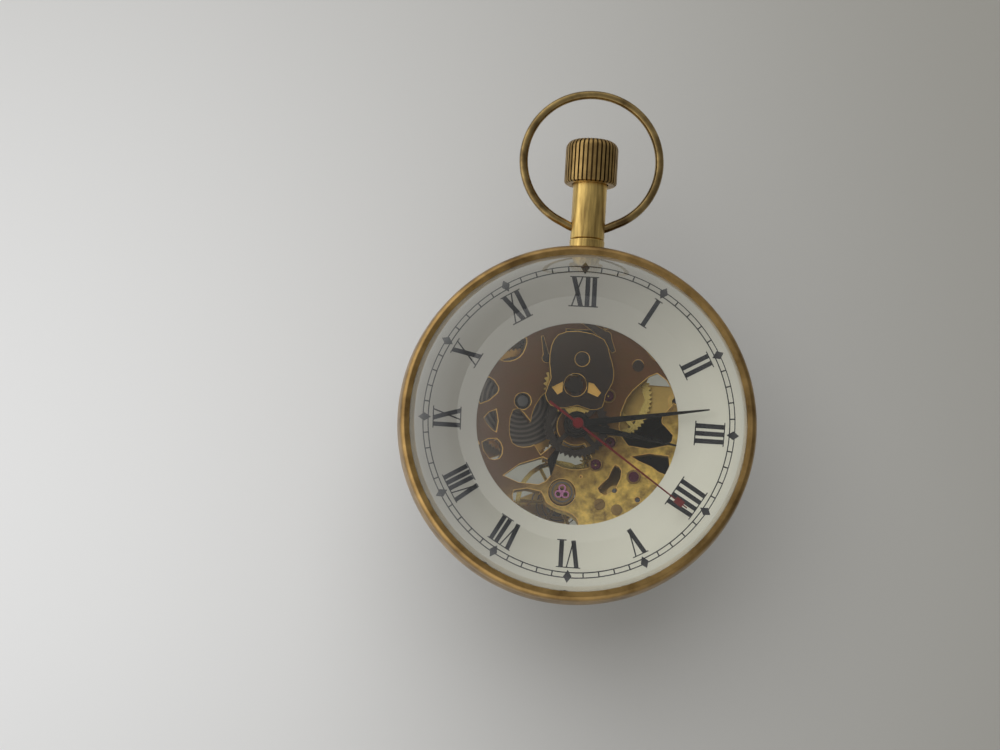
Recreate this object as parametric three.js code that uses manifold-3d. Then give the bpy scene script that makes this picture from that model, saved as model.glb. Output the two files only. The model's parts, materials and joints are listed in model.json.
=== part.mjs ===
// A paperweight clock: a small skeleton watch movement between two thick glass domes.
// The clock lies on its back. +Z is the dial's normal, +Y points to 12 o'clock and the crown,
// +X to 3 o'clock. The origin is the centre of the flat ground on the rear dome, on which it rests.
// All sizes are millimetres. Levels inside the case are heights over the band's widest plane.
import * as THREE from 'three';
import { mergeVertices } from 'three/addons/utils/BufferGeometryUtils.js';
import Module from 'manifold-3d';

const wasm = await Module();
wasm.setup();

// Case
const BAND_RADIUS = 30; // at the widest plane
const BAND_CROWN = 0.4; // how far the band bulges over its two edges
const BAND_WALL = 2.7;
const BAND_FRONT = 4.0; // level of the seat for the front glass
const BAND_REAR = 4.6; // the same behind, deeper because the movement lies there
const SEAT_WIDTH = 1.4; // of the seat that each glass and its bezel share
const REBATE_DEPTH = 0.8; // step that the bezel skirts drop over
const LEDGE_WIDTH = 1.7; // of the ledge that carries the casing ring
const LEDGE_THICKNESS = 0.8;
const FIT = 0.05; // clearance of pieces that are pressed or laid together
const GLASS_SEAT = 1.0; // how far each dome's sphere is wider than the band's bore
const GLASS_CENTRE = 0.9; // level of the front sphere's centre, and as far behind for the rear
const REST_FLAT_RADIUS = 8;
const BEZEL_LIP = 2.2; // height of the lip over the glass seat

// Pendant, crown and bow
const STEM_LEVEL = -0.5;
const STEM_BORE = 1.2; // radius of the way through case and neck
const COLLAR_RADIUS = 2.95;
const COLLAR_HEIGHT = 1.4; // over the band
const NECK_RADIUS = 2.88;
const NECK_LENGTH = 10.4;
const SEAM = 0.14; // chamfers where collar and neck meet
const CROWN_RADIUS = 4.45;
const CROWN_OVERLAP = 0.9; // length of neck inside the crown
const CROWN_HEIGHT = 7.9;
const CROWN_SHOULDER = 1.5; // radius of the round between flutes and top
const CROWN_DOME = 0.35; // rise of the top over that round
const CROWN_FLUTES = 36;
const FLUTE_DEPTH = 0.32;
const CROWN_RECESS_RADIUS = 3.05;
const CROWN_RECESS_DEPTH = 3.1;
const BOW_WIRE = 0.72; // radius
const BOW_RADIUS = 11.55; // of the wire's centre line
const BOW_PIN_HEIGHT = 2.15; // of the pins over the collar
const BOW_PIN_INSET = 1.7; // how near to the axis the pins reach
const BOW_HOLE = 0.85; // radius of the holes in the neck

// Casing ring and dial
const CASING_CLEARANCE = 0.15; // round the main plate
const DIAL_MARGIN = 0.4; // gap between the dial's edge and the band
const DIAL_THICKNESS = 0.4;
const DIAL_TOP = 1.3;
const DIAL_OPENING = 11.2; // radius
const DIAL_FOOT_RADIUS = 0.4;
const DIAL_FOOT_LENGTH = 1.6;
const DIAL_FOOT_PLACE = 20;

// Movement levels
const PLATE_RADIUS = 13;
const FLANGE_WIDTH = 0.5; // of the plate's rim that lies on the casing ring
const FLANGE_THICKNESS = 0.2;
const PLATE_TOP = 0.6;
const PLATE_BOTTOM = -0.4;
const BRIDGE_FRONT = -3.4;
const BRIDGE_REAR = -4.0;
const COVER_LEVEL = 1.5; // underside of the minute wheel's cover
const WHEEL_THICKNESS = 0.15;
const ARBOR = 0.12; // radius of the train arbors
const BARREL_WALL_RADIUS = 5.0;
const BARREL_FLOOR = -0.55; // level of the barrel's closed face
const BARREL_RIM = -2.0; // level of its open edge
const RATCHET_LEVEL = -2.8; // undersides of the wheels, from here on
const CENTRE_WHEEL_LEVEL = -2.35;
const THIRD_WHEEL_LEVEL = -2.9;
const FOURTH_WHEEL_LEVEL = -3.2;
const ESCAPE_LEVEL = -1.7;
const BALANCE_LEVEL = -2.85;
const HAIRSPRING_LEVEL = -3.03;
const MINUTE_WHEEL_LEVEL = 0.95;
const HOUR_WHEEL_LEVEL = 1.22;
const HOUR_HAND_LEVEL = 1.95;
const MINUTE_HAND_LEVEL = 2.55;
const SECONDS_HAND_LEVEL = 2.98;
const HAND_THICKNESS = 0.15;
const SECONDS_BOSS = 3.5; // level of the seconds hand's boss, the highest point under the glass

// Movement centres, as [x, y]
const CENTRE = [0, 0];
const THIRD = [3.3, 3.5];
const ESCAPE = [2.4, -4.0];
const PALLET = [0.88, -5.45];
const BALANCE = [-1.1, -7.35];
const BARREL = [-5.9, 2.4];
const MINUTE = [-0.4, 4.4];
const CROWN_WHEEL = [-2.6, 8.6];
const PLATE_JEWEL = [3.8, -1.5];
const SETTING_BEARING = 48; // degrees, seen from the minute wheel
const SETTING_LEVER = [2.7, 9.9];
const LEVER_PIN = [0, 11.5]; // the setting lever's pin in the stem's groove
const LEVER_PIN_RADIUS = 0.2;
const PINION_WAY_START = 5.5; // the plate's opening for the winding and the sliding pinion
const PINION_WAY_END = 10.4;
const PINION_WAY_WIDTH = 3.2;
const WINDING_PINION_START = 8.5;
const WINDING_PINION_END = 10.2;
const SLIDING_PINION_START = 6.5;
const SLIDING_PINION_END = 8.35;
const YOKE = [-3.6, 7.2];
const CLICK = [-9.6, 5.6];
const CLICK_SPRING = [-11.3, 3.4]; // its foot

// Wheel and pinion teeth
const BARREL_TEETH = 78;
const CENTRE_LEAVES = 12;
const CENTRE_TEETH = 64;
const THIRD_LEAVES = 8;
const THIRD_TEETH = 60;
const SWEEP_LEAVES = 8;
const FOURTH_TEETH = 70;
const SETTING_TEETH = 9;
const ESCAPE_LEAVES = 7;
const ESCAPE_TEETH = 15;
const CANNON_LEAVES = 12;
const MINUTE_TEETH = 36;
const MINUTE_LEAVES = 10;
const HOUR_TEETH = 40;
const RATCHET_TEETH = 40;
const CROWN_WHEEL_TEETH = 32;

// Hand angles, clockwise from 12 o'clock in degrees
const HOUR_ANGLE = 98.4;
const MINUTE_ANGLE = 80.3;
const SECONDS_ANGLE = 124.4;
const HOUR_HAND_LENGTH = 11.4;
const MINUTE_HAND_LENGTH = 15.4;
const SECONDS_HAND_LENGTH = 16.6;
const SECONDS_TAIL = 4.1;
const HOUR_HUB = 1.5; // radius
const MINUTE_HUB = 1.15;

// Finishes
const BRASS = { color: 0x9a7a3a, metalness: 1, roughness: 0.38 };
const GILT = { color: 0xb98a3e, metalness: 1, roughness: 0.35 };
const COPPER = { color: 0x8a5230, metalness: 1, roughness: 0.4 };
const YELLOW_BRASS = { color: 0xd2b04a, metalness: 1, roughness: 0.3 };
const STEEL = { color: 0x6a6a6c, metalness: 1, roughness: 0.3 };
const DARK_STEEL = { color: 0x2c2a2c, metalness: 1, roughness: 0.4 };
const GLASS = { color: 0xffffff, metalness: 0, roughness: 0.02, transparent: true, opacity: 0.3 };
const ENAMEL = { color: 0xe2e1da, metalness: 0, roughness: 0.3 };
const BLACK = { color: 0x0c0c0e, metalness: 0.4, roughness: 0.35 };
const RED = { color: 0xa01018, metalness: 0.2, roughness: 0.35 };
const RUBY = { color: 0xa0205a, metalness: 0, roughness: 0.1 };
const RUBBER = { color: 0x181818, metalness: 0, roughness: 0.8 };
const CASE_BRASS = { color: 0x927644, metalness: 1, roughness: 0.45 };

const bandEdge = BAND_RADIUS - BAND_CROWN;
const bandBore = BAND_RADIUS - BAND_WALL;
const rebateRadius = bandBore + SEAT_WIDTH;
const ledgeRadius = bandBore - LEDGE_WIDTH;
const glassRadius = bandBore + GLASS_SEAT;
const collarTop = BAND_RADIUS + COLLAR_HEIGHT;
const neckTop = collarTop + NECK_LENGTH;
const crownBottom = neckTop - CROWN_OVERLAP;
const bowPivot = collarTop + BOW_PIN_HEIGHT;
const plateFlange = PLATE_RADIUS + FLANGE_WIDTH;
const casingBore = PLATE_RADIUS + CASING_CLEARANCE;

const clock = new THREE.Group();
clock.name = 'paperweight_clock';
const restDrop = Math.sqrt(glassRadius ** 2 - REST_FLAT_RADIUS ** 2);
const rearShift = BAND_REAR - BAND_FRONT; // how much further back the rear dome sits
clock.position.z = GLASS_CENTRE + restDrop + rearShift;

const deg = Math.PI / 180;
const spread = (a, b) => Math.hypot(b[0] - a[0], b[1] - a[1]);
const bearing = (a, b) => Math.atan2(b[1] - a[1], b[0] - a[0]);
const along = (angle, reach, [x, y] = [0, 0]) => [x + reach * Math.cos(angle), y + reach * Math.sin(angle)];

// Merges a geometry's vertices, drops empty triangles and turns its faces outwards.
function closeSurface(geometry) {
  const bare = geometry.clone();
  for (const name of ['normal', 'uv']) {
    bare.deleteAttribute(name);
  }
  const merged = mergeVertices(bare, 1e-4);
  const place = merged.attributes.position;
  const corners = [];
  let volume = 0;
  const [a, b, c] = [0, 1, 2].map(() => new THREE.Vector3());
  for (let i = 0; i < merged.index.count; i += 3) {
    const face = [0, 1, 2].map((k) => merged.index.getX(i + k));
    if (new Set(face).size === 3) {
      corners.push(face);
      [a, b, c].forEach((v, k) => v.fromBufferAttribute(place, face[k]));
      volume += a.dot(b.clone().cross(c));
    }
  }
  const closed = new THREE.BufferGeometry();
  closed.setAttribute('position', place);
  closed.setIndex(corners.flatMap((f) => (volume < 0 ? [f[0], f[2], f[1]] : f)));
  return closed;
}

function solid(geometry) {
  const closed = closeSurface(geometry);
  const vertProperties = Float32Array.from(closed.attributes.position.array);
  const triVerts = Uint32Array.from(closed.index.array);
  return new wasm.Manifold(new wasm.Mesh({ numProp: 3, vertProperties, triVerts }));
}

function surface(body) {
  const mesh = body.getMesh();
  const geometry = new THREE.BufferGeometry();
  const places = new Float32Array(mesh.numVert * 3);
  for (let i = 0; i < mesh.numVert; i++) {
    for (let k = 0; k < 3; k++) {
      places[3 * i + k] = mesh.vertProperties[mesh.numProp * i + k];
    }
  }
  geometry.setAttribute('position', new THREE.BufferAttribute(places, 3));
  geometry.setIndex(Array.from(mesh.triVerts));
  return geometry;
}

const join = (...bodies) => bodies.reduce((whole, body) => whole.add(body));
const cut = (body, ...tools) => tools.reduce((rest, tool) => rest.subtract(tool), body);

function add(name, body, finish, place = [0, 0, 0], turn = 0) {
  const mesh = new THREE.Mesh(surface(body), new THREE.MeshStandardMaterial(finish));
  mesh.name = name;
  mesh.position.set(...place);
  mesh.rotation.z = turn;
  clock.add(mesh);
  return mesh;
}

// Outlines are lists of [x, y] points.
function circle(x, y, radius, count = 24, start = 0) {
  return Array.from({ length: count }, (_, i) => {
    const angle = start + (i / count) * 2 * Math.PI;
    return [x + radius * Math.cos(angle), y + radius * Math.sin(angle)];
  });
}

function sector(inner, outer, from, to, count = 8, centre = [0, 0]) {
  const point = (radius, i) => {
    const angle = (from + ((to - from) * i) / count) * deg;
    return [centre[0] + radius * Math.cos(angle), centre[1] + radius * Math.sin(angle)];
  };
  const steps = Array.from({ length: count + 1 }, (_, i) => i);
  return [...steps.map((i) => point(outer, i)), ...steps.reverse().map((i) => point(inner, i))];
}

function bar(a, b, widthA, widthB = widthA) {
  const angle = bearing(a, b);
  const side = (p, width, sign) => [
    p[0] - (sign * width * Math.sin(angle)) / 2,
    p[1] + (sign * width * Math.cos(angle)) / 2,
  ];
  return [side(a, widthA, -1), side(b, widthB, -1), side(b, widthB, 1), side(a, widthA, 1)];
}

function smooth(points, perPoint = 4) {
  const curve = new THREE.CatmullRomCurve3(
    points.map(([x, y]) => new THREE.Vector3(x, y, 0)),
    true,
    'centripetal',
  );
  return curve.getPoints(points.length * perPoint).slice(0, -1).map((p) => [p.x, p.y]);
}

function slab(outline, low, high, holes = []) {
  const shape = new THREE.Shape(outline.map(([x, y]) => new THREE.Vector2(x, y)));
  shape.holes = holes.map((hole) => new THREE.Path(hole.map(([x, y]) => new THREE.Vector2(x, y))));
  const geometry = new THREE.ExtrudeGeometry(shape, { depth: high - low, bevelEnabled: false });
  return solid(geometry.translate(0, 0, low));
}

// Revolves a list of [radius, height] points round +Z.
function turned(profile, segments = 24) {
  const points = [...profile, profile[0]].map(([r, z]) => new THREE.Vector2(r, z));
  return solid(new THREE.LatheGeometry(points, segments).rotateX(Math.PI / 2));
}

// The same round +Y, at the stem's level.
function turnedOnStem(profile, segments = 24) {
  const points = [...profile, profile[0]].map(([r, y]) => new THREE.Vector2(r, y));
  return solid(new THREE.LatheGeometry(points, segments).translate(0, 0, STEM_LEVEL));
}

const rod = (radius, low, high, segments = 10) =>
  turned([[0, low], [radius, low], [radius, high], [0, high]], segments);
const rodAt = ([x, y], radius, low, high, segments = 12) => slab(circle(x, y, radius, segments), low, high);
const stemRod = (radius, near, far, segments = 16) =>
  turnedOnStem([[0, near], [radius, near], [radius, far], [0, far]], segments);

// A wheel's toothed outline. Sharp teeth have one tip point, leaves have two.
function teeth(count, pitchRadius, addendum, dedendum, phase = 0, sharp = true) {
  const step = (2 * Math.PI) / count;
  const polar = (radius, angle) => [radius * Math.cos(angle), radius * Math.sin(angle)];
  return Array.from({ length: count }, (_, i) => {
    const angle = phase + i * step;
    const tip = pitchRadius + addendum;
    const root = pitchRadius - dedendum;
    if (sharp) {
      return [polar(tip, angle), polar(root, angle + step / 2)];
    }
    return [
      polar(root, angle - 0.2 * step),
      polar(tip, angle - 0.1 * step),
      polar(tip, angle + 0.1 * step),
      polar(root, angle + 0.2 * step),
    ];
  }).flat();
}

// Radii and phases of a meshing pair, from their centres and tooth counts.
function pair(a, b, countA, countB) {
  const distance = spread(a, b);
  const radiusA = (distance * countA) / (countA + countB);
  const direction = bearing(a, b);
  return {
    radiusA,
    radiusB: distance - radiusA,
    module: (2 * distance) / (countA + countB),
    phaseA: direction,
    phaseB: direction + Math.PI + Math.PI / countB,
  };
}

function windows(count, inner, outer, webWidth, steps = 2, start = 0) {
  return Array.from({ length: count }, (_, i) => {
    const middle = start + (i * 360) / count;
    const half = (radius) => 180 / count - (webWidth / 2 / radius) / deg;
    const arc = (radius, from, to) => sector(radius, radius, from, to, steps).slice(0, steps + 1);
    const outside = arc(outer, middle - half(outer), middle + half(outer));
    const inside = arc(inner, middle + half(inner), middle - half(inner));
    return [...outside, ...inside];
  });
}

function trainWheel(count, radius, module, phase, low, spokes, hub = 0.75) {
  const outline = teeth(count, radius, 0.85 * module, 1.1 * module, phase);
  const holes = windows(spokes, hub, radius - 1.1 * module - 0.42, 0.42);
  return slab(outline, low, low + WHEEL_THICKNESS, holes);
}

const pinion = (count, radius, module, phase, low, high) =>
  slab(teeth(count, radius, 0.75 * module, 1.15 * module, phase), low, high);

// Case band, bezels and glasses

const glassRadiusAt = (level) => Math.sqrt(glassRadius ** 2 - (level - GLASS_CENTRE) ** 2);

function bandOutside(extra = 0) {
  const front = BAND_FRONT - REBATE_DEPTH;
  const rear = -(BAND_REAR - REBATE_DEPTH);
  const bulge = (level, edge) => {
    const sink = (BAND_RADIUS - bandEdge) * (level / edge) ** 2;
    return [BAND_RADIUS - sink + extra, level];
  };
  const steps = [1, 0.5];
  return [
    ...steps.map((t) => bulge(rear * t, rear)),
    bulge(0, 1),
    ...steps.reverse().map((t) => bulge(front * t, front)),
  ];
}

const ledgeLevel = -1.9;
const caseSegments = 36;

function caseBand() {
  const ledgeFoot = ledgeLevel - LEDGE_THICKNESS;
  const body = turned(
    [
      ...bandOutside(),
      [rebateRadius, BAND_FRONT - REBATE_DEPTH],
      [rebateRadius, BAND_FRONT],
      [bandBore, BAND_FRONT],
      [bandBore, ledgeLevel],
      [ledgeRadius, ledgeLevel],
      [ledgeRadius, ledgeFoot],
      [bandBore, ledgeFoot],
      [bandBore, -BAND_REAR],
      [rebateRadius, -BAND_REAR],
      [rebateRadius, -BAND_REAR + REBATE_DEPTH],
    ],
    caseSegments,
  );
  return cut(body, stemRod(STEM_BORE, ledgeRadius - 2, BAND_RADIUS + 2));
}

// A bezel over the seat at a given height. The rear one is turned over.
function bezel(seat) {
  const lip = seat + BEZEL_LIP;
  const inside = [0, 1].map((t) => {
    const level = seat + FIT + t * (BEZEL_LIP - 0.25);
    return [glassRadiusAt(level - seat + BAND_FRONT) + FIT, level];
  });
  return turned(
    [
      [rebateRadius + FIT, seat + FIT],
      [rebateRadius + FIT, seat - REBATE_DEPTH + FIT],
      [bandEdge, seat - REBATE_DEPTH + FIT],
      [bandEdge, seat + 0.8],
      [bandEdge - 0.35, lip - 0.35],
      [bandEdge - 0.85, lip],
      ...inside.reverse(),
    ],
    caseSegments,
  );
}

function dome(groundFlat) {
  const seat = BAND_FRONT + FIT;
  const start = Math.asin((seat + 0.15 - GLASS_CENTRE) / glassRadius);
  const end = groundFlat ? Math.acos(REST_FLAT_RADIUS / glassRadius) : Math.PI / 2;
  const steps = 6;
  const arc = Array.from({ length: steps + 1 }, (_, i) => {
    const angle = start + ((end - start) * i) / steps;
    const radius = i === steps && !groundFlat ? 0 : glassRadius * Math.cos(angle);
    return [radius, GLASS_CENTRE + glassRadius * Math.sin(angle)];
  });
  const top = groundFlat ? [[0, GLASS_CENTRE + restDrop]] : [];
  return turned([[0, seat], [glassRadiusAt(seat) - 0.12, seat], ...arc, ...top], caseSegments);
}

const overturn = (body) => body.rotate([180, 0, 0]);

add('case_band', caseBand(), CASE_BRASS);
add('front_bezel', bezel(BAND_FRONT), CASE_BRASS);
add('rear_bezel', overturn(bezel(BAND_REAR)), CASE_BRASS);
add('front_glass', dome(false), GLASS);
add('rear_glass', overturn(dome(true)), GLASS, [0, 0, -rearShift]);

// Collar, neck, crown and bow

const collar = turnedOnStem(
  [
    [STEM_BORE, BAND_RADIUS - 1],
    [COLLAR_RADIUS, BAND_RADIUS - 1],
    [COLLAR_RADIUS, collarTop - SEAM],
    [COLLAR_RADIUS - SEAM, collarTop],
    [STEM_BORE, collarTop],
  ],
  20,
);
const bandEnvelope = turned([[0, 0], ...bandOutside(FIT), [0, 0.1]].filter((_, i) => i > 0), caseSegments);
add('neck_collar', cut(collar, bandEnvelope), CASE_BRASS);

const neck = turnedOnStem(
  [
    [STEM_BORE, collarTop + FIT],
    [NECK_RADIUS - SEAM, collarTop + FIT],
    [NECK_RADIUS, collarTop + FIT + SEAM],
    [NECK_RADIUS, neckTop - 0.2],
    [NECK_RADIUS - 0.2, neckTop],
    [STEM_BORE, neckTop],
  ],
  20,
);
const pinHole = solid(
  new THREE.CylinderGeometry(BOW_HOLE, BOW_HOLE, 2, 10)
    .rotateZ(Math.PI / 2)
    .translate(BOW_PIN_INSET - 0.15 + 1, bowPivot, STEM_LEVEL),
);
const neckTube = cut(neck, pinHole, pinHole.rotate([0, 180, 0]).translate([0, 0, 2 * STEM_LEVEL]));
add('neck_tube', neckTube, CASE_BRASS);

function crown() {
  const top = crownBottom + CROWN_HEIGHT;
  const step = (2 * Math.PI) / CROWN_FLUTES;
  const outline = Array.from({ length: CROWN_FLUTES }, (_, i) =>
    [
      [-0.25, CROWN_RADIUS],
      [0.25, CROWN_RADIUS],
      [0.5, CROWN_RADIUS - FLUTE_DEPTH],
    ].map(([t, r]) => [r * Math.cos((i + t + 0.13) * step), r * Math.sin((i + t + 0.13) * step)]),
  ).flat();
  const fluted = slab(outline, -CROWN_HEIGHT, 0)
    .rotate([90, 0, 0])
    .translate([0, crownBottom, STEM_LEVEL]);
  const outer = CROWN_RADIUS + 0.1;
  const foot = 0.4;
  const shoulder = [0, 30, 60, 90].map((angle) => [
    outer - CROWN_SHOULDER * (1 - Math.cos(angle * deg)),
    top - CROWN_DOME - CROWN_SHOULDER * (1 - Math.sin(angle * deg)),
  ]);
  const envelope = turnedOnStem(
    [
      [0, crownBottom],
      [outer - foot, crownBottom],
      [outer, crownBottom + foot],
      ...shoulder,
      [(outer - CROWN_SHOULDER) / 2, top - CROWN_DOME / 4],
      [0, top],
    ],
    24,
  );
  const recess = stemRod(CROWN_RECESS_RADIUS, crownBottom - 1, crownBottom + CROWN_RECESS_DEPTH, 24);
  const socket = stemRod(0.8, crownBottom, top - 2.2, 14);
  return cut(fluted.intersect(envelope), recess, socket);
}
add('crown', crown(), CASE_BRASS);

const gasketTop = crownBottom + CROWN_RECESS_DEPTH - FIT;
const gasket = turnedOnStem(
  [
    [STEM_BORE - 0.3, gasketTop - 0.8],
    [CROWN_RECESS_RADIUS - 0.15, gasketTop - 0.8],
    [CROWN_RECESS_RADIUS - 0.15, gasketTop],
    [STEM_BORE - 0.3, gasketTop],
  ],
  20,
);
add('crown_gasket', gasket, RUBBER);

const stem = turnedOnStem(
  [
    [0, 5.3],
    [0.25, 5.3],
    [0.3, 6.3],
    [0.42, 6.35],
    [0.42, plateFlange + 0.15],
    [0.75, plateFlange + 0.5],
    [0.75, crownBottom + CROWN_HEIGHT - 2.3],
    [0, crownBottom + CROWN_HEIGHT - 2.3],
  ],
  14,
);
add('winding_stem', stem, STEEL);

function bow() {
  const centreY = bowPivot + BOW_RADIUS - 0.1;
  const gap = 22;
  const arc = Array.from({ length: 21 }, (_, i) => {
    const angle = (-90 + gap + ((360 - 2 * gap) * i) / 20) * deg;
    return [BOW_RADIUS * Math.cos(angle), centreY + BOW_RADIUS * Math.sin(angle)];
  });
  const pins = [
    [BOW_PIN_INSET, bowPivot],
    [(BOW_PIN_INSET + NECK_RADIUS) / 2, bowPivot],
    [NECK_RADIUS + 0.1, bowPivot],
  ];
  const route = [...pins, ...arc, ...pins.reverse().map(([x, y]) => [-x, y])];
  const path = new THREE.CatmullRomCurve3(
    route.map(([x, y]) => new THREE.Vector3(x, y, STEM_LEVEL)),
    false,
    'centripetal',
  );
  const wire = new THREE.Shape(circle(0, 0, BOW_WIRE, 8).map(([x, y]) => new THREE.Vector2(x, y)));
  return solid(new THREE.ExtrudeGeometry(wire, { steps: 40, extrudePath: path, bevelEnabled: false }));
}
add('bow_ring', bow(), CASE_BRASS);

// Casing ring and dial

const dialBottom = DIAL_TOP - DIAL_THICKNESS;
const casingTop = dialBottom - FIT;
const casingRadius = bandBore - FIT;
const dialFootEnd = dialBottom - DIAL_FOOT_LENGTH;
const dialFeet = [90 + 58, -90 + 58].map((angle) => [
  DIAL_FOOT_PLACE * Math.cos(angle * deg),
  DIAL_FOOT_PLACE * Math.sin(angle * deg),
]);
const flangeSeat = PLATE_TOP - FLANGE_THICKNESS - FIT;
const casing = turned(
  [
    [casingBore, ledgeLevel + FIT],
    [casingRadius, ledgeLevel + FIT],
    [casingRadius, casingTop],
    [plateFlange + 0.12, casingTop],
    [plateFlange + 0.12, flangeSeat],
    [casingBore, flangeSeat],
  ],
  caseSegments,
);
add(
  'casing_ring',
  cut(
    casing,
    stemRod(STEM_BORE, PLATE_RADIUS - 1, bandBore + 1),
    ...dialFeet.map((p) => rodAt(p, DIAL_FOOT_RADIUS + 0.15, dialFootEnd - 0.3, casingTop + 1)),
  ),
  BRASS,
);

const dialEdge = circle(0, 0, bandBore - DIAL_MARGIN, caseSegments);
const dialDisc = slab(dialEdge, dialBottom, DIAL_TOP, [circle(0, 0, DIAL_OPENING, 36)]);
const feet = dialFeet.map((p) => rodAt(p, DIAL_FOOT_RADIUS, dialFootEnd, dialBottom + 0.1));
add('dial', join(dialDisc, ...feet), ENAMEL);

// Plates and bridges

const motionModule = (2 * spread(CENTRE, MINUTE)) / (CANNON_LEAVES + MINUTE_TEETH);
const SETTING = along(SETTING_BEARING * deg, (motionModule * (MINUTE_TEETH + SETTING_TEETH)) / 2, MINUTE);

const jewelHole = 0.6;
const jewelPlaces = { third: THIRD, escape: ESCAPE };
const bridgeScrews = {
  barrel_screw_a: [-10.9, -2.6],
  barrel_screw_b: [2.6, 11.0],
  train_screw_a: [10.6, 3.4],
  train_screw_b: [7.2, -7.6],
  cock_screw: [-7.9, -8.4],
  pallet_screw: [4.6, -6.7],
};
const screwTap = 0.32;

function mainPlate() {
  const top = PLATE_TOP;
  const bottom = PLATE_BOTTOM;
  const disc = turned(
    [
      [0, bottom],
      [PLATE_RADIUS, bottom],
      [PLATE_RADIUS, flangeSeat + FIT],
      [plateFlange, flangeSeat + FIT],
      [plateFlange, top],
      [0, top],
    ],
    32,
  );
  const stemBlock = slab(
    [[-1.5, 10.55], [1.5, 10.55], [1.5, 12.7], [-1.5, 12.7]],
    STEM_LEVEL - 0.9,
    bottom + 0.1,
  );
  const openings = [
    // under the barrel
    [[-6.9, 1.3], [-6.3, 1.5], [-5.2, 0.5], [-4.3, -0.7], [-4.2, -2.1], [-5.6, -2.6], [-6.8, -2.2],
      [-7.2, -0.4]],
    [[-8.8, 1.3], [-10.1, 0.3], [-9.4, -0.6], [-8.7, -1.1]],
    [[-9.8, 4.8], [-8.7, 3.8], [-8.8, 3.1], [-10.6, 1.9], [-10.9, 3.2]],
    [[-8.6, -1.9], [-10.2, -2.4], [-9.3, -4.1], [-8.2, -4.0], [-7.9, -2.9]],
    [[-5.9, 9.2], [-6.0, 8.1], [-6.5, 7.2], [-7.5, 6.7], [-8.7, 6.8], [-9.0, 7.6], [-7.4, 9.3]],
    // right, with a rim that bulges inwards
    [[5.3, 3.3], [6.7, 5.0], [8.4, 6.2], [10.2, 4.4], [10.2, 3.0], [9.3, 1.9], [9.2, 0.9], [10.5, -0.3],
      [10.0, -1.4], [5.8, -1.7], [4.7, 0.3]],
    [[6.3, -2.9], [10.2, -2.6], [10.0, -4.6], [8.4, -3.8]],
    // round the balance
    [[-7.6, -5.9], [-3.7, -6.6], [-2.5, -5.6], [-2.3, -4.4], [-3.4, -3.6]],
    [[-6.4, -7.5], [-3.4, -7.4], [-2.8, -8.6], [-1.3, -9.3], [0.1, -9.7], [0.9, -10.6], [0.5, -11.3],
      [-3.0, -11.1], [-5.8, -9.9], [-6.4, -8.7]],
    // over the escape wheel
    [[4.5, -3.9], [5.2, -4.5], [4.8, -6.2], [3.6, -7.3], [2.8, -6.6], [3.9, -5.4]],
    // beside the keyless works
    [[7.4, 8.3], [8.2, 7.6], [7.4, 9.4], [6.2, 9.9]],
  ].map((outline) => slab(smooth(outline, 2), bottom - 1, top + 1));
  const hubWindows = [sector(2.1, 4.9, 118, 222, 8), sector(2.1, 4.7, 234, 300, 6)].map((outline) =>
    slab(outline, bottom - 1, top + 1),
  );
  const holes = [
    ...[THIRD, ESCAPE, PLATE_JEWEL].map((p) => rodAt(p, jewelHole, bottom - 1, top + 1, 12)),
    rodAt(CENTRE, 0.62, bottom - 1, top + 1, 12),
    rodAt(BALANCE, 1.5, bottom - 1, top + 1, 20),
    rodAt(PALLET, 0.12, bottom - 0.1, top + 1, 6),
    rodAt(BARREL, 0.9, bottom - 1, top + 1, 12),
    ...[MINUTE, SETTING].map((p) => rodAt(p, 0.2, bottom - 1, top + 1, 6)),
    ...[SETTING_LEVER, YOKE].map((p) => rodAt(p, 0.25, bottom - 1, top + 1, 6)),
    rodAt([6.3, 7.0], 0.55, bottom - 1, top + 1, 12),
    ...Object.values(bridgeScrews).map((p) => rodAt(p, screwTap, bottom - 1, top + 1, 6)),
  ];
  const stemWay = stemRod(0.55, 4.6, 14, 12);
  const leverReach = spread(SETTING_LEVER, LEVER_PIN);
  const pinSwing = [0, 8, 16, 24].map((turn) => {
    const at = along(bearing(SETTING_LEVER, LEVER_PIN) - turn * deg, leverReach, SETTING_LEVER);
    return rodAt(at, LEVER_PIN_RADIUS + 0.15, STEM_LEVEL, top + 1, 8);
  });
  const side = PINION_WAY_WIDTH / 2;
  const pinionWay = slab(
    [[-side, PINION_WAY_START], [side, PINION_WAY_START], [side, PINION_WAY_END], [-side, PINION_WAY_END]],
    bottom - 1,
    top + 1,
  );
  return cut(join(disc, stemBlock), ...openings, ...hubWindows, ...holes, stemWay, ...pinSwing, pinionWay);
}
add('main_plate', mainPlate(), COPPER);

const pillar = (p, radius = 1.1) => rodAt(p, radius, BRIDGE_REAR, PLATE_BOTTOM - FIT, 14);

function bridge(outlines, feet, holes, windowsCut = []) {
  const plates = outlines.map((outline) => slab(outline, BRIDGE_REAR, BRIDGE_FRONT));
  const body = join(...plates, ...feet.map((p) => pillar(p)));
  const bores = holes.map(([p, radius]) => rodAt(p, radius, BRIDGE_REAR - 1, PLATE_TOP, 10));
  const openings = windowsCut.map((outline) => slab(outline, BRIDGE_REAR - 1, BRIDGE_FRONT + 1));
  return cut(body, ...bores, ...openings);
}

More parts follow.
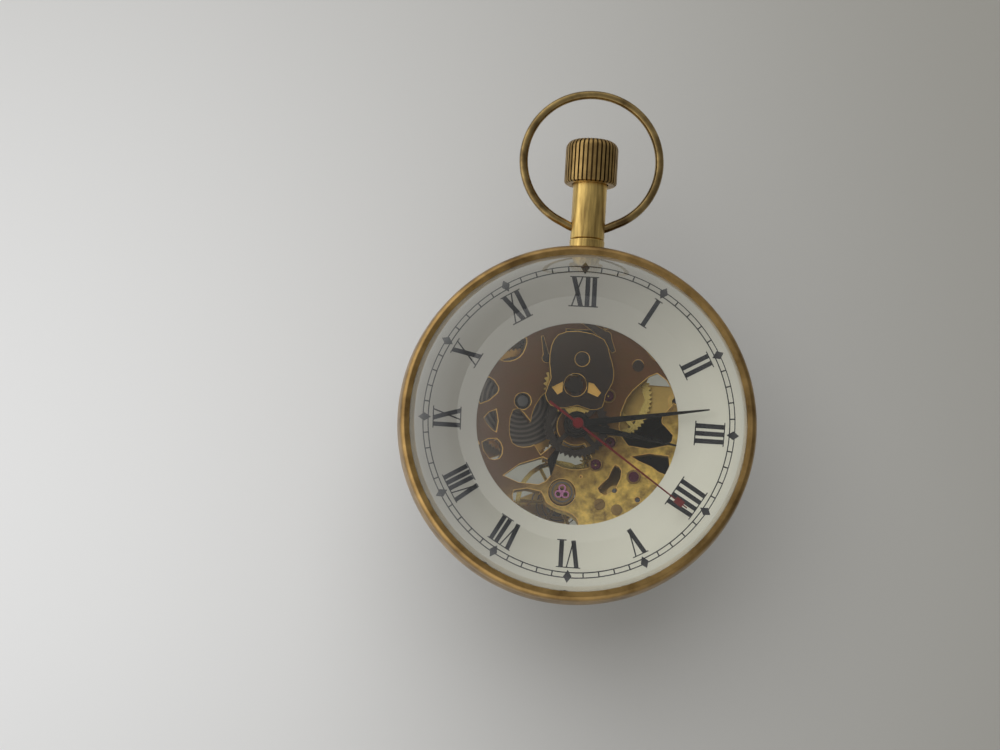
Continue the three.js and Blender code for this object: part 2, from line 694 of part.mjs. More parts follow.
const s = bridgeScrews;
const barrelBridge = bridge(
  [
    smooth([[-11.9, -2.4], [-10.4, -3.6], [-7.0, -2.7], [-2.9, -0.4], [-2.0, 2.4], [-1.4, 5.6], [3.4, 9.6],
      [3.6, 11.6], [0.4, 12.0], [-5.2, 10.9], [-9.6, 7.2], [-11.8, 2.6]], 2),
  ],
  [s.barrel_screw_a, s.barrel_screw_b],
  [
    [s.barrel_screw_a, screwTap + FIT],
    [s.barrel_screw_b, screwTap + FIT],
    [BARREL, 0.62],
    [CROWN_WHEEL, 0.4],
    [CLICK, 0.27],
    [CLICK_SPRING, 0.25],
  ],
  windows(4, 1.9, 3.5, 0.9, 3, 30).map((w) => w.map(([x, y]) => [x + BARREL[0], y + BARREL[1]])),
);
add('barrel_bridge', barrelBridge, GILT);

const trainBridge = bridge(
  [
    smooth([[11.7, 2.4], [11.0, 4.8], [9.0, 5.0], [4.4, 5.0], [2.2, 4.6], [1.2, 2.2], [-1.2, 1.0],
      [-1.0, -1.2], [1.2, -2.4], [1.4, -4.8], [3.4, -5.4], [5.6, -7.4], [7.4, -8.9], [8.7, -7.2],
      [6.4, -4.6], [5.1, -2.4], [5.2, 0.4], [7.2, 2.0], [10.0, 2.2]], 2),
  ],
  [s.train_screw_a, s.train_screw_b],
  [
    [s.train_screw_a, screwTap + FIT],
    [s.train_screw_b, screwTap + FIT],
    [THIRD, jewelHole],
    [ESCAPE, jewelHole],
    [CENTRE, 0.25],
  ],
);
add('train_bridge', trainBridge, GILT);

const cockOutline = smooth(
  [[-9.4, -8.6], [-8.6, -7.2], [-5.6, -7.2], [-2.4, -5.7], [-0.2, -5.8], [0.7, -7.4], [-0.2, -9.0], [-2.4, -9.1],
    [-5.6, -9.4], [-8.2, -10.0]],
  2,
);
const hairspringTurns = 4;
const hairspringInner = 0.42;
const hairspringOuter = 2.55;
const studPlace = along(Math.PI, hairspringOuter + 0.25, BALANCE);
const cock = bridge([cockOutline], [s.cock_screw], [[s.cock_screw, screwTap + FIT], [BALANCE, 1.05]]);
add('balance_cock', join(cock, rodAt(studPlace, 0.15, -3.45, -2.95, 8)), GILT);

const palletTop = -2.05;
const palletBridge = cut(
  join(
    slab(smooth([[0.2, -5.5], [0.9, -4.9], [2.2, -5.9], [4.4, -5.8], [5.5, -6.8], [4.5, -7.6], [2.4, -6.9],
      [0.7, -6.1]], 2), palletTop, palletTop + 0.25),
    rodAt(s.pallet_screw, 0.85, palletTop, PLATE_BOTTOM - FIT, 16),
  ),
  rodAt(s.pallet_screw, screwTap + FIT, palletTop - 1, PLATE_TOP, 12),
  rodAt(PALLET, 0.14, palletTop - 1, PLATE_BOTTOM, 8),
);
add('pallet_bridge', palletBridge, GILT);

function screw(name, [x, y], under, length) {
  const head = rodAt([x, y], 0.62, under - 0.3, under - 0.02, 12);
  const shank = rodAt([x, y], screwTap - FIT, under - 0.1, under + length, 6);
  const slot = slab(bar([x - 1, y], [x + 1, y], 0.18), under - 1, under - 0.2);
  add(name, cut(join(head, shank), slot), STEEL);
}
for (const name of ['barrel_screw_a', 'barrel_screw_b', 'train_screw_a', 'train_screw_b', 'cock_screw']) {
  screw(name, bridgeScrews[name], BRIDGE_REAR, PLATE_TOP - BRIDGE_REAR - 0.15);
}
screw('pallet_screw', s.pallet_screw, palletTop, PLATE_TOP - palletTop - 0.15);

// Barrel, arbor, mainspring, ratchet and click

const barrelMesh = pair(BARREL, CENTRE, BARREL_TEETH, CENTRE_LEAVES);
const wheelTeeth = (count, radius, module, phase) => teeth(count, radius, 0.8 * module, 1.1 * module, phase);
const barrelBody = join(
  slab(
    wheelTeeth(BARREL_TEETH, barrelMesh.radiusA, barrelMesh.module, barrelMesh.phaseA),
    BARREL_FLOOR - 0.45,
    BARREL_FLOOR,
    [circle(0, 0, BARREL_WALL_RADIUS - 0.4, 20)],
  ),
  turned(
    [
      [0.75, BARREL_FLOOR - 0.2],
      [BARREL_WALL_RADIUS - 0.35, BARREL_FLOOR - 0.2],
      [BARREL_WALL_RADIUS - 0.35, BARREL_RIM],
      [BARREL_WALL_RADIUS, BARREL_RIM],
      [BARREL_WALL_RADIUS, BARREL_FLOOR],
      [0.75, BARREL_FLOOR],
    ],
    24,
  ),
);
add('barrel', barrelBody, BRASS, [...BARREL, 0]);

const coverRadius = BARREL_WALL_RADIUS - 0.35 - FIT;
const cover = slab(circle(0, 0, coverRadius, 24), BARREL_RIM, BARREL_RIM + 0.2, [circle(0, 0, 0.75, 10)]);
add('barrel_cover', cover, BRASS, [...BARREL, 0]);

const arborTop = BRIDGE_REAR + 0.1;
const arbor = turned(
  [
    [0, arborTop],
    [0.5, arborTop],
    [0.5, BARREL_RIM + 0.25],
    [1.3, BARREL_RIM + 0.3],
    [1.3, BARREL_FLOOR - 0.3],
    [0.6, BARREL_FLOOR - 0.25],
    [0.6, PLATE_TOP - 0.1],
    [0, PLATE_TOP - 0.1],
  ],
  12,
);
add('barrel_arbor', arbor, STEEL, [...BARREL, 0]);

// A flat spiral strip of a given thickness and height, wound out from its inner end.
function spiral(inner, outer, turns, thickness, low, high, steps) {
  const point = (t, side) => {
    const angle = t * turns * 2 * Math.PI;
    const radius = inner + (outer - inner) * t + (side * thickness) / 2;
    return [radius * Math.cos(angle), radius * Math.sin(angle)];
  };
  const count = Array.from({ length: steps + 1 }, (_, i) => i / steps);
  return slab([...count.map((t) => point(t, 1)), ...count.reverse().map((t) => point(t, -1))], low, high);
}
const springInner = 1.3 + 0.25;
const springOuter = BARREL_WALL_RADIUS - 0.35 - 0.25;
const mainspringTurns = 4;
add(
  'mainspring',
  spiral(springInner, springOuter, mainspringTurns, 0.14, BARREL_RIM + 0.35, BARREL_FLOOR - 0.32, 48),
  STEEL,
  [...BARREL, 0],
);

const ratchetMesh = pair(BARREL, CROWN_WHEEL, RATCHET_TEETH, CROWN_WHEEL_TEETH);
const ratchetHigh = RATCHET_LEVEL + 0.3;
const ratchet = slab(
  wheelTeeth(RATCHET_TEETH, ratchetMesh.radiusA, ratchetMesh.module, ratchetMesh.phaseA),
  RATCHET_LEVEL,
  ratchetHigh,
  [circle(0, 0, 0.5 + FIT, 16)],
);
add('ratchet_wheel', ratchet, STEEL, [...BARREL, 0]);

const crownWheelHub = 0.4 - FIT;
const crownWheel = join(
  slab(
    wheelTeeth(CROWN_WHEEL_TEETH, ratchetMesh.radiusB, ratchetMesh.module, ratchetMesh.phaseB),
    RATCHET_LEVEL,
    ratchetHigh,
    windows(4, 1.1, ratchetMesh.radiusB - 1.3, 0.7),
  ),
  slab(circle(0, 0, ratchetMesh.radiusB - 0.45, 24), ratchetHigh - 0.1, -2.15, [
    circle(0, 0, ratchetMesh.radiusB - 0.95, 24),
  ]),
  rod(crownWheelHub, BRIDGE_REAR + 0.1, RATCHET_LEVEL + 0.1),
);
add('crown_wheel', crownWheel, STEEL, [...CROWN_WHEEL, 0]);

// The click drops into the ratchet's teeth, and its spring bears on its tail.
const clickTip = along(bearing(BARREL, CLICK) - 22 * deg, ratchetMesh.radiusA + 0.32, BARREL);
const clickTail = along(bearing(clickTip, CLICK), 1.1, CLICK);
const click = join(
  slab(circle(...CLICK, 0.5, 12), RATCHET_LEVEL, ratchetHigh),
  slab(bar(CLICK, clickTip, 0.6, 0.2), RATCHET_LEVEL, ratchetHigh),
  slab(bar(CLICK, clickTail, 0.5, 0.3), RATCHET_LEVEL, ratchetHigh),
  rodAt(CLICK, 0.22, BRIDGE_REAR + 0.1, RATCHET_LEVEL + 0.1, 8),
);
add('click', click, STEEL);

const springTip = along(bearing(clickTail, CLICK) + 90 * deg, 0.35, clickTail);
const clickSpring = join(
  slab(circle(...CLICK_SPRING, 0.5, 12), RATCHET_LEVEL, ratchetHigh),
  slab(bar(CLICK_SPRING, springTip, 0.35, 0.16), RATCHET_LEVEL, ratchetHigh),
  rodAt(CLICK_SPRING, 0.2, BRIDGE_REAR + 0.1, RATCHET_LEVEL + 0.1, 8),
);
add('click_spring', clickSpring, STEEL);

// Going train

const centreArbor = 0.5;
const centrePinion = pinion(
  CENTRE_LEAVES,
  barrelMesh.radiusB,
  barrelMesh.module,
  barrelMesh.phaseB,
  CENTRE_WHEEL_LEVEL + WHEEL_THICKNESS,
  BARREL_FLOOR + 0.05,
);
const thirdMesh = pair(CENTRE, THIRD, CENTRE_TEETH, THIRD_LEAVES);
const centreWheel = cut(
  join(
    trainWheel(
      CENTRE_TEETH,
      thirdMesh.radiusA,
      thirdMesh.module,
      thirdMesh.phaseA,
      CENTRE_WHEEL_LEVEL,
      4,
      1.0,
    ),
    centrePinion,
    rod(centreArbor, CENTRE_WHEEL_LEVEL - 0.2, MINUTE_WHEEL_LEVEL + 0.65, 10),
  ),
  rod(0.25, -4, 4, 6),
);
add('centre_wheel', centreWheel, GILT);

const sweepMesh = pair(THIRD, CENTRE, THIRD_TEETH, SWEEP_LEAVES);
const thirdWheel = join(
  trainWheel(THIRD_TEETH, sweepMesh.radiusA, sweepMesh.module, sweepMesh.phaseA, THIRD_WHEEL_LEVEL, 4),
  pinion(
    THIRD_LEAVES,
    thirdMesh.radiusB,
    thirdMesh.module,
    thirdMesh.phaseB,
    THIRD_WHEEL_LEVEL + 0.05,
    CENTRE_WHEEL_LEVEL + 0.3,
  ),
  rod(ARBOR, BRIDGE_REAR + 0.3, PLATE_TOP - 0.3, 8),
);
add('third_wheel', thirdWheel, YELLOW_BRASS, [...THIRD, 0]);

const escapeMesh = pair(CENTRE, ESCAPE, FOURTH_TEETH, ESCAPE_LEAVES);
const fourthWheel = join(
  trainWheel(FOURTH_TEETH, escapeMesh.radiusA, escapeMesh.module, escapeMesh.phaseA, FOURTH_WHEEL_LEVEL, 4),
  pinion(
    SWEEP_LEAVES,
    sweepMesh.radiusB,
    sweepMesh.module,
    sweepMesh.phaseB,
    FOURTH_WHEEL_LEVEL + 0.1,
    THIRD_WHEEL_LEVEL + 0.2,
  ),
  rod(0.14, BRIDGE_REAR + 0.2, SECONDS_HAND_LEVEL + 0.07, 8),
);
add('fourth_wheel', fourthWheel, YELLOW_BRASS);

// Escape wheel: raked teeth on a thin rim.
const escapeRadius = spread(ESCAPE, PALLET) / (1 / Math.cos(30 * deg));
function escapeOutline() {
  const step = 360 / ESCAPE_TEETH;
  return Array.from({ length: ESCAPE_TEETH }, (_, i) =>
    [
      [escapeRadius - 0.42, 0],
      [escapeRadius, 7],
      [escapeRadius - 0.03, 9.5],
      [escapeRadius - 0.42, 8.5],
    ].map(([r, a]) => [r * Math.cos((i * step + a) * deg), r * Math.sin((i * step + a) * deg)]),
  ).flat();
}
const escapeWheel = join(
  slab(escapeOutline(), ESCAPE_LEVEL, ESCAPE_LEVEL + 0.18, windows(4, 0.45, escapeRadius - 0.62, 0.24)),
  pinion(
    ESCAPE_LEAVES,
    escapeMesh.radiusB,
    escapeMesh.module,
    escapeMesh.phaseB,
    FOURTH_WHEEL_LEVEL - 0.05,
    FOURTH_WHEEL_LEVEL + 0.4,
  ),
  rod(ARBOR, BRIDGE_REAR + 0.3, PLATE_TOP - 0.3, 8),
);
add('escape_wheel', escapeWheel, YELLOW_BRASS, [...ESCAPE, 0]);

// Pallet fork: an anchor towards the escape wheel and a lever towards the balance.
const toEscape = bearing(PALLET, ESCAPE);
const toBalance = bearing(PALLET, BALANCE);
const rollerReach = spread(PALLET, BALANCE);
function palletFork() {
  const high = ESCAPE_LEVEL + 0.18;
  const arms = [1, -1].map((side) => {
    const elbow = along(toEscape + side * 68 * deg, 1.35);
    const wheelAxis = along(toEscape, spread(PALLET, ESCAPE));
    const onWheel = along(toEscape + Math.PI - side * 31 * deg, escapeRadius + 0.05, wheelAxis);
    const arm = slab(bar([0, 0], elbow, 0.5, 0.3), ESCAPE_LEVEL, high);
    return join(arm, slab(bar(elbow, onWheel, 0.3, 0.22), ESCAPE_LEVEL, high));
  });
  const leverEnd = along(toBalance, rollerReach - 0.75);
  const lever = slab(bar([0, 0], leverEnd, 0.45, 0.24), ESCAPE_LEVEL, high);
  const horn = (side) =>
    slab(
      bar(
        along(toBalance, rollerReach - 0.85),
        [
          along(toBalance, rollerReach - 0.3)[0] - side * 0.26 * Math.sin(toBalance),
          along(toBalance, rollerReach - 0.3)[1] + side * 0.26 * Math.cos(toBalance),
        ],
        0.24,
        0.13,
      ),
      ESCAPE_LEVEL,
      high,
    );
  return join(...arms, lever, horn(1), horn(-1), rod(0.1, -2.0, PLATE_BOTTOM + 0.2, 8));
}
add('pallet_fork', palletFork(), STEEL, [...PALLET, 0]);

// Balance, hairspring and regulator

const balanceRadius = 4.25;
const spokeEnd = (angle) => along(angle * deg, balanceRadius - 0.2);
const balance = join(
  turned(
    [
      [balanceRadius - 0.45, BALANCE_LEVEL],
      [balanceRadius, BALANCE_LEVEL],
      [balanceRadius, BALANCE_LEVEL + 0.3],
      [balanceRadius - 0.45, BALANCE_LEVEL + 0.3],
    ],
    24,
  ),
  ...[0, 60, 120].map((a) =>
    slab(bar(spokeEnd(a), spokeEnd(a + 180), 0.34), BALANCE_LEVEL + 0.05, BALANCE_LEVEL + 0.22),
  ),
  rod(0.55, BALANCE_LEVEL, BALANCE_LEVEL + 0.35, 12),
  rod(0.16, -3.55, 0.05, 6),
  rod(0.34, -3.15, BALANCE_LEVEL + 0.1, 8),
  rod(0.5, -1.3, -1.1, 10),
  rodAt(along(toBalance + Math.PI, 0.4), 0.08, -1.75, -1.2, 8),
);
add('balance_wheel', balance, YELLOW_BRASS, [...BALANCE, 0]);

function hairspring() {
  const steps = 20 * hairspringTurns;
  const wire = 0.05; // radius
  const section = circle(0, 0, wire, 5).map(([x, y]) => new THREE.Vector2(x, y));
  const route = Array.from({ length: steps + 1 }, (_, i) => {
    const t = i / steps;
    const angle = Math.PI + t * hairspringTurns * 2 * Math.PI;
    const radius = hairspringInner + (hairspringOuter - hairspringInner) * t;
    return new THREE.Vector3(radius * Math.cos(angle), radius * Math.sin(angle), HAIRSPRING_LEVEL);
  });
  const halfTurn = steps / hairspringTurns / 2;
  const gaps = route.flatMap((a, i) => route.slice(i + halfTurn).map((b) => a.distanceTo(b) - 2 * wire));
  console.log(`hairspring least gap ${Math.min(...gaps).toFixed(3)} mm`);
  const path = new THREE.CatmullRomCurve3(route);
  return solid(
    new THREE.ExtrudeGeometry(new THREE.Shape(section), { steps, extrudePath: path, bevelEnabled: false }),
  );
}
add('hairspring', hairspring(), STEEL, [...BALANCE, 0]);

const regulator = join(
  slab(circle(0, 0, 1.55, 18), BRIDGE_REAR - 0.2, BRIDGE_REAR - FIT, [circle(0, 0, 1.0, 14)]),
  slab(bar(along(20 * deg, 1.3), along(20 * deg, 3.6), 0.5, 0.22), BRIDGE_REAR - 0.2, BRIDGE_REAR - FIT),
);
add('regulator', regulator, STEEL, [...BALANCE, 0]);

const shockFront = turned(
  [
    [0.22, PLATE_TOP - 0.7],
    [1.4, PLATE_TOP - 0.7],
    [1.4, PLATE_TOP + 0.1],
    [0.7, PLATE_TOP + 0.1],
    [0.22, PLATE_TOP - 0.4],
  ],
  16,
);
add('shock_setting_front', shockFront, STEEL, [...BALANCE, 0]);
const shockRear = turned(
  [
    [0.22, BRIDGE_FRONT],
    [0.95, BRIDGE_FRONT],
    [0.95, BRIDGE_REAR - 0.05],
    [0.5, BRIDGE_REAR - 0.05],
    [0.22, BRIDGE_FRONT - 0.2],
  ],
  14,
);
add('shock_setting_rear', shockRear, STEEL, [...BALANCE, 0]);

const jewel = (low, high) =>
  slab(circle(0, 0, jewelHole - 0.03, 12), low, high, [circle(0, 0, ARBOR + 0.05, 6)]);
for (const [name, [x, y]] of Object.entries({ ...jewelPlaces, plate: PLATE_JEWEL })) {
  add(`${name}_jewel_front`, jewel(PLATE_TOP - 0.35, PLATE_TOP - 0.05), RUBY, [x, y, 0]);
}
for (const [name, [x, y]] of Object.entries(jewelPlaces)) {
  add(`${name}_jewel_rear`, jewel(BRIDGE_REAR + 0.05, BRIDGE_REAR + 0.4), RUBY, [x, y, 0]);
}

// Keyless works

const windingPinion = turnedOnStem(
  [
    [0.5, WINDING_PINION_START],
    [1.1, WINDING_PINION_START],
    [1.1, WINDING_PINION_END - 1.0],
    [1.42, WINDING_PINION_END - 0.9],
    [1.42, WINDING_PINION_END],
    [0.5, WINDING_PINION_END],
  ],
  14,
);
add('winding_pinion', windingPinion, DARK_STEEL);
const slidingPinion = turnedOnStem(
  [
    [0.5, SLIDING_PINION_START],
    [1.08, SLIDING_PINION_START],
    [1.08, SLIDING_PINION_START + 0.4],
    [0.8, SLIDING_PINION_START + 0.5],
    [0.8, SLIDING_PINION_START + 0.9],
    [1.08, SLIDING_PINION_START + 1.0],
    [1.08, SLIDING_PINION_END],
    [0.5, SLIDING_PINION_END],
  ],
  12,
);
add('sliding_pinion', slidingPinion, DARK_STEEL);

const keylessLow = PLATE_TOP + FIT;
const keylessHigh = keylessLow + 0.2;
const settingLever = join(
  slab(bar(SETTING_LEVER, LEVER_PIN, 1.0, 0.6), keylessLow, keylessHigh),
  slab(bar(SETTING_LEVER, [3.6, 8.2], 1.0, 0.5), keylessLow, keylessHigh),
  slab(circle(...SETTING_LEVER, 0.6, 14), keylessLow, keylessHigh),
  slab(circle(...LEVER_PIN, 0.32, 10), keylessLow, keylessHigh),
  rodAt(LEVER_PIN, LEVER_PIN_RADIUS, STEM_LEVEL + 0.5, keylessLow + 0.1, 8),
  rodAt(SETTING_LEVER, 0.2, PLATE_BOTTOM, keylessLow + 0.1, 8),
);
add('setting_lever', settingLever, STEEL);
const yokeTip = [-1.24, SLIDING_PINION_START + 0.7];
const yoke = join(
  slab(bar(YOKE, yokeTip, 0.9, 0.35), keylessLow, keylessHigh),
  slab(bar(YOKE, [-4.2, 9.6], 0.7, 0.3), keylessLow, keylessHigh),
  slab(circle(...YOKE, 0.55, 14), keylessLow, keylessHigh),
  rodAt(yokeTip, 0.13, STEM_LEVEL, keylessLow + 0.1, 8),
  rodAt(YOKE, 0.2, PLATE_BOTTOM, keylessLow + 0.1, 8),
);
add('yoke', yoke, STEEL);

// Motion work and hands

const cannonMesh = pair(CENTRE, MINUTE, CANNON_LEAVES, MINUTE_TEETH);
const hourMesh = pair(MINUTE, CENTRE, MINUTE_LEAVES, HOUR_TEETH);
const cannon = cut(
  join(
    pinion(
      CANNON_LEAVES,
      cannonMesh.radiusA,
      cannonMesh.module,
      cannonMesh.phaseA,
      MINUTE_WHEEL_LEVEL - 0.03,
      MINUTE_WHEEL_LEVEL + 0.2,
    ),
    rod(0.78, PLATE_TOP + 0.1, MINUTE_HAND_LEVEL + 0.2, 14),
  ),
  rod(centreArbor + 0.02, -1, 1.62, 10),
  rod(0.3, -1, 4, 8),
);
add('cannon_pinion', cannon, DARK_STEEL);

const minuteWheel = join(
  slab(
    wheelTeeth(MINUTE_TEETH, cannonMesh.radiusB, cannonMesh.module, cannonMesh.phaseB),
    MINUTE_WHEEL_LEVEL,
    MINUTE_WHEEL_LEVEL + WHEEL_THICKNESS,
    windows(3, 0.9, cannonMesh.radiusB - 0.75, 0.5),
  ),
  pinion(
    MINUTE_LEAVES,
    hourMesh.radiusA,
    hourMesh.module,
    hourMesh.phaseA,
    MINUTE_WHEEL_LEVEL + 0.1,
    COVER_LEVEL - FIT,
  ),
  rod(0.15, PLATE_TOP - 0.4, COVER_LEVEL + 0.1, 8),
);
add('minute_wheel', minuteWheel, YELLOW_BRASS, [...MINUTE, 0]);

const hourPipe = { bore: 0.85, wall: 0.28 };
const pipeMiddle = hourPipe.bore + hourPipe.wall / 2;
const hourWheel = join(
  slab(
    wheelTeeth(HOUR_TEETH, hourMesh.radiusB, hourMesh.module, hourMesh.phaseB),
    HOUR_WHEEL_LEVEL,
    HOUR_WHEEL_LEVEL + WHEEL_THICKNESS,
    [circle(0, 0, pipeMiddle, 16), ...windows(4, 1.4, hourMesh.radiusB - 0.75, 0.5)],
  ),
  turned(
    [
      [hourPipe.bore, HOUR_WHEEL_LEVEL - 0.03],
      [hourPipe.bore + hourPipe.wall, HOUR_WHEEL_LEVEL - 0.03],
      [hourPipe.bore + hourPipe.wall, HOUR_HAND_LEVEL + HAND_THICKNESS],
      [hourPipe.bore, HOUR_HAND_LEVEL + HAND_THICKNESS],
    ],
    16,
  ),
);
add('hour_wheel', hourWheel, DARK_STEEL);

const settingWheel = join(
  slab(
    teeth(SETTING_TEETH, (motionModule * SETTING_TEETH) / 2, 0.75 * motionModule, 1.15 * motionModule,
      (180 + SETTING_BEARING) * deg + Math.PI / SETTING_TEETH, false),
    MINUTE_WHEEL_LEVEL - 0.03,
    MINUTE_WHEEL_LEVEL + 0.17,
  ),
  rod(0.15, PLATE_TOP - 0.4, MINUTE_WHEEL_LEVEL + 0.05, 8),
);
add('setting_wheel', settingWheel, DARK_STEEL, [...SETTING, 0]);

const coverPosts = [[-2.4, 9.2], [3.3, 5.6]];
const minuteCover = join(
  slab(
    smooth([[-3.3, 8.6], [-3.4, 6.6], [-3.15, 5.0], [-3.7, 3.2], [-3.0, 2.0], [-1.5, 1.75], [0, 2.15],
      [1.4, 1.75], [2.7, 2.1], [3.0, 3.5], [3.7, 4.9], [3.75, 6.2], [3.2, 8.0], [2.5, 9.6], [-0.4, 10.4],
      [-2.6, 9.9]], 2),
    COVER_LEVEL,
    COVER_LEVEL + 0.15,
    [
      circle(...MINUTE, 1.25, 20),
      circle(0.2, 7.3, 0.8, 16),
      [[-2.9, 4.0], [-1.85, 4.6], [-1.85, 3.6], [-2.3, 3.3]],
      [[1.1, 4.7], [1.6, 4.6], [2.4, 3.7], [2.1, 3.3], [1.05, 3.7]],
    ],
  ),
  ...coverPosts.map((p) => rodAt(p, 0.3, PLATE_TOP + FIT, COVER_LEVEL + 0.05, 10)),
);
add('minute_wheel_cover', minuteCover, DARK_STEEL);

function hand(angle, length, hubRadius, bore, low, rootWidth, tipWidth) {
  const high = low + HAND_THICKNESS;
  const direction = (90 - angle) * deg;
  const ends = [hubRadius * 0.5, length].map((reach) => along(direction, reach));
  const blade = slab(bar(...ends, rootWidth, tipWidth), low, high);
  const ring = slab(circle(0, 0, hubRadius, 16), low, high);
  return cut(join(ring, blade), rod(bore, low - 1, high + 1, 16));
}
add('hour_hand', hand(HOUR_ANGLE, HOUR_HAND_LENGTH, HOUR_HUB, 1.17, HOUR_HAND_LEVEL, 0.9, 0.2), BLACK);
add(
  'minute_hand',
  hand(MINUTE_ANGLE, MINUTE_HAND_LENGTH, MINUTE_HUB, 0.8, MINUTE_HAND_LEVEL, 0.85, 0.18),
  BLACK,
);
const secondsDirection = (90 - SECONDS_ANGLE) * deg;
const secondsTop = SECONDS_HAND_LEVEL + 0.12;
const secondsTip = along(secondsDirection, SECONDS_HAND_LENGTH);
const blockEnds = [2.0, 0.7].map((back) => along(secondsDirection, SECONDS_HAND_LENGTH - back));
const secondsTail = along(secondsDirection + Math.PI, SECONDS_TAIL);
const secondsHand = cut(
  join(
    slab(bar(secondsTail, secondsTip, 0.3, 0.14), SECONDS_HAND_LEVEL, secondsTop),
    slab(bar(...blockEnds, 0.8), SECONDS_HAND_LEVEL, secondsTop),
    rod(0.6, SECONDS_HAND_LEVEL - 0.08, SECONDS_BOSS, 16),
  ),
  rod(0.16, 2, SECONDS_HAND_LEVEL + 0.22, 10),
);
add('seconds_hand', secondsHand, RED);

export default clock;
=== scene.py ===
# %% [markdown]
# # A paperweight clock in Blender
# A small skeleton watch movement sits between two thick glass half balls in a brass band.
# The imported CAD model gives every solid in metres. This lesson keeps the solids whose shape is
# right, dresses them in metal, enamel and ruby, and models the pieces that need rounder edges,
# printed figures or fine coils. The clock lies on its back, +Z is the dial's normal and +Y
# points to 12 o'clock.

# %% Load the frame
import json
import math

import bpy
from mathutils import Matrix, Vector

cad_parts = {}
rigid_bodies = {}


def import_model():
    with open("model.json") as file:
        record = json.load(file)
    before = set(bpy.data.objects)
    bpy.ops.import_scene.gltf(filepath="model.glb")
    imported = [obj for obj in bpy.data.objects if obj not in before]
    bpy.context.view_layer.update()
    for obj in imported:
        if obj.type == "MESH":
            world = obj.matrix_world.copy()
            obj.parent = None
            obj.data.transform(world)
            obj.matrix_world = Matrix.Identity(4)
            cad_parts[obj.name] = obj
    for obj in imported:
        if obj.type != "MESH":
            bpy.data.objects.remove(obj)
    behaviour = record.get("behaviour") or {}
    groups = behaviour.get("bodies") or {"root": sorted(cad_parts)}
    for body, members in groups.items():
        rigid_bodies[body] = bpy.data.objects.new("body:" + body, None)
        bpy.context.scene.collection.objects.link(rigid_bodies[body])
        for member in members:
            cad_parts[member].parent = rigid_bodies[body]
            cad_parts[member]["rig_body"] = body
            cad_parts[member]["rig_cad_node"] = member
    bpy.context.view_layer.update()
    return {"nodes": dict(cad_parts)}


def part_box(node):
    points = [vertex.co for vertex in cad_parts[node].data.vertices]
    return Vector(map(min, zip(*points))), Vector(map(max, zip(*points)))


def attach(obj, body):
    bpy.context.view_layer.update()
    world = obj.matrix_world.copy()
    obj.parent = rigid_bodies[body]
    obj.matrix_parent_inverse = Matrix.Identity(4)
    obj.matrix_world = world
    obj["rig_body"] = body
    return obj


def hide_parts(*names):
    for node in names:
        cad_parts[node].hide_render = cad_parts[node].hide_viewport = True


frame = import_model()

nodes = frame["nodes"]
body_of_node = {node: piece["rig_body"] for node, piece in nodes.items()}
MM = 0.001
print("solids loaded:", len(nodes))

# %% [markdown]
# ## Levels
# Every height inside the case is counted in millimetres from the band's widest plane, as in the
# CAD source. The band's box gives that plane's height over the table, so nothing here is
# measured twice. The stem's axis lies a little behind that plane.

# %% Levels taken from the frame
BAND_FRONT, BAND_REAR = 4.0, 4.6
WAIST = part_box("case_band")[1].z / MM - BAND_FRONT
STEM_LEVEL = -0.5
STEM_HEIGHT = WAIST + STEM_LEVEL
print("waist over the table, mm:", round(WAIST, 3))

# %% [markdown]
# ## Helpers for modelling as by hand
# An operator acts on all that is selected, and the loaded solids are selected, so each piece
# starts from nothing selected. A turned piece is made as on a lathe: one vertex is extruded along
# half of the section, and the section is spun round its axis. The spin can leave a shape inside
# out, so its doubles are merged and its normals recalculated before anything else is done.

# %% Pick, open and close a piece
def deselect_all():
    if bpy.context.object and bpy.context.object.mode != "OBJECT":
        bpy.ops.object.mode_set(mode="OBJECT")
    bpy.ops.object.select_all(action="DESELECT")


def pick(piece):
    """Selects one piece alone and makes it the active one."""
    deselect_all()
    bpy.context.view_layer.objects.active = piece
    piece.select_set(True)


def named(name):
    """Names the active object and its mesh."""
    piece = bpy.context.object
    piece.name = piece.data.name = name
    return piece


def open_piece(piece):
    pick(piece)
    bpy.ops.object.mode_set(mode="EDIT")
    bpy.ops.mesh.select_mode(type="VERT")
    bpy.ops.mesh.select_all(action="SELECT")


def close_piece():
    bpy.ops.object.mode_set(mode="OBJECT")


# %% Finish a piece
SMOOTH_ANGLE = 35.0


def smooth(angle):
    bpy.ops.object.shade_smooth_by_angle(angle=math.radians(angle))


def put_down(piece, angle=SMOOTH_ANGLE):
    """Applies the object's place, so that it sits at the origin, and smooths its soft edges."""
    pick(piece)
    bpy.ops.object.transform_apply(location=True, rotation=True, scale=True)
    smooth(angle)
    return piece


def modify(piece, kind, **settings):
    """Gives the piece a modifier and applies it at once."""
    pick(piece)
    change = piece.modifiers.new(kind.lower(), kind)
    for setting, value in settings.items():
        setattr(change, setting, value)
    bpy.ops.object.modifier_apply(modifier=change.name)
    return piece


def bevel(piece, width, segments=2, limit=30.0, smooth_angle=SMOOTH_ANGLE, **settings):
    modify(piece, "BEVEL", width=width * MM, segments=segments, limit_method="ANGLE",
           angle_limit=math.radians(limit), **settings)
    smooth(smooth_angle)
    return piece


def cut_away(piece, tool):
    """Cuts the tool's shape out of the piece and removes the tool."""
    modify(piece, "BOOLEAN", operation="DIFFERENCE", object=tool)
    bpy.data.objects.remove(tool)


def dress(piece, body, finish, *stands_for):
    """Gives the piece its finish and its body, and hides the CAD nodes that it stands for."""
    piece.data.materials.clear()
    piece.data.materials.append(finish)
    if stands_for:
        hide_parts(*stands_for)
    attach(piece, body)
    return piece


# %% Turn a piece on the lathe
ROUND_STEPS, SMALL_STEPS = 192, 32
SPIN_DOUBLES, SPIN_DEGENERATE = 1e-6, 1e-7


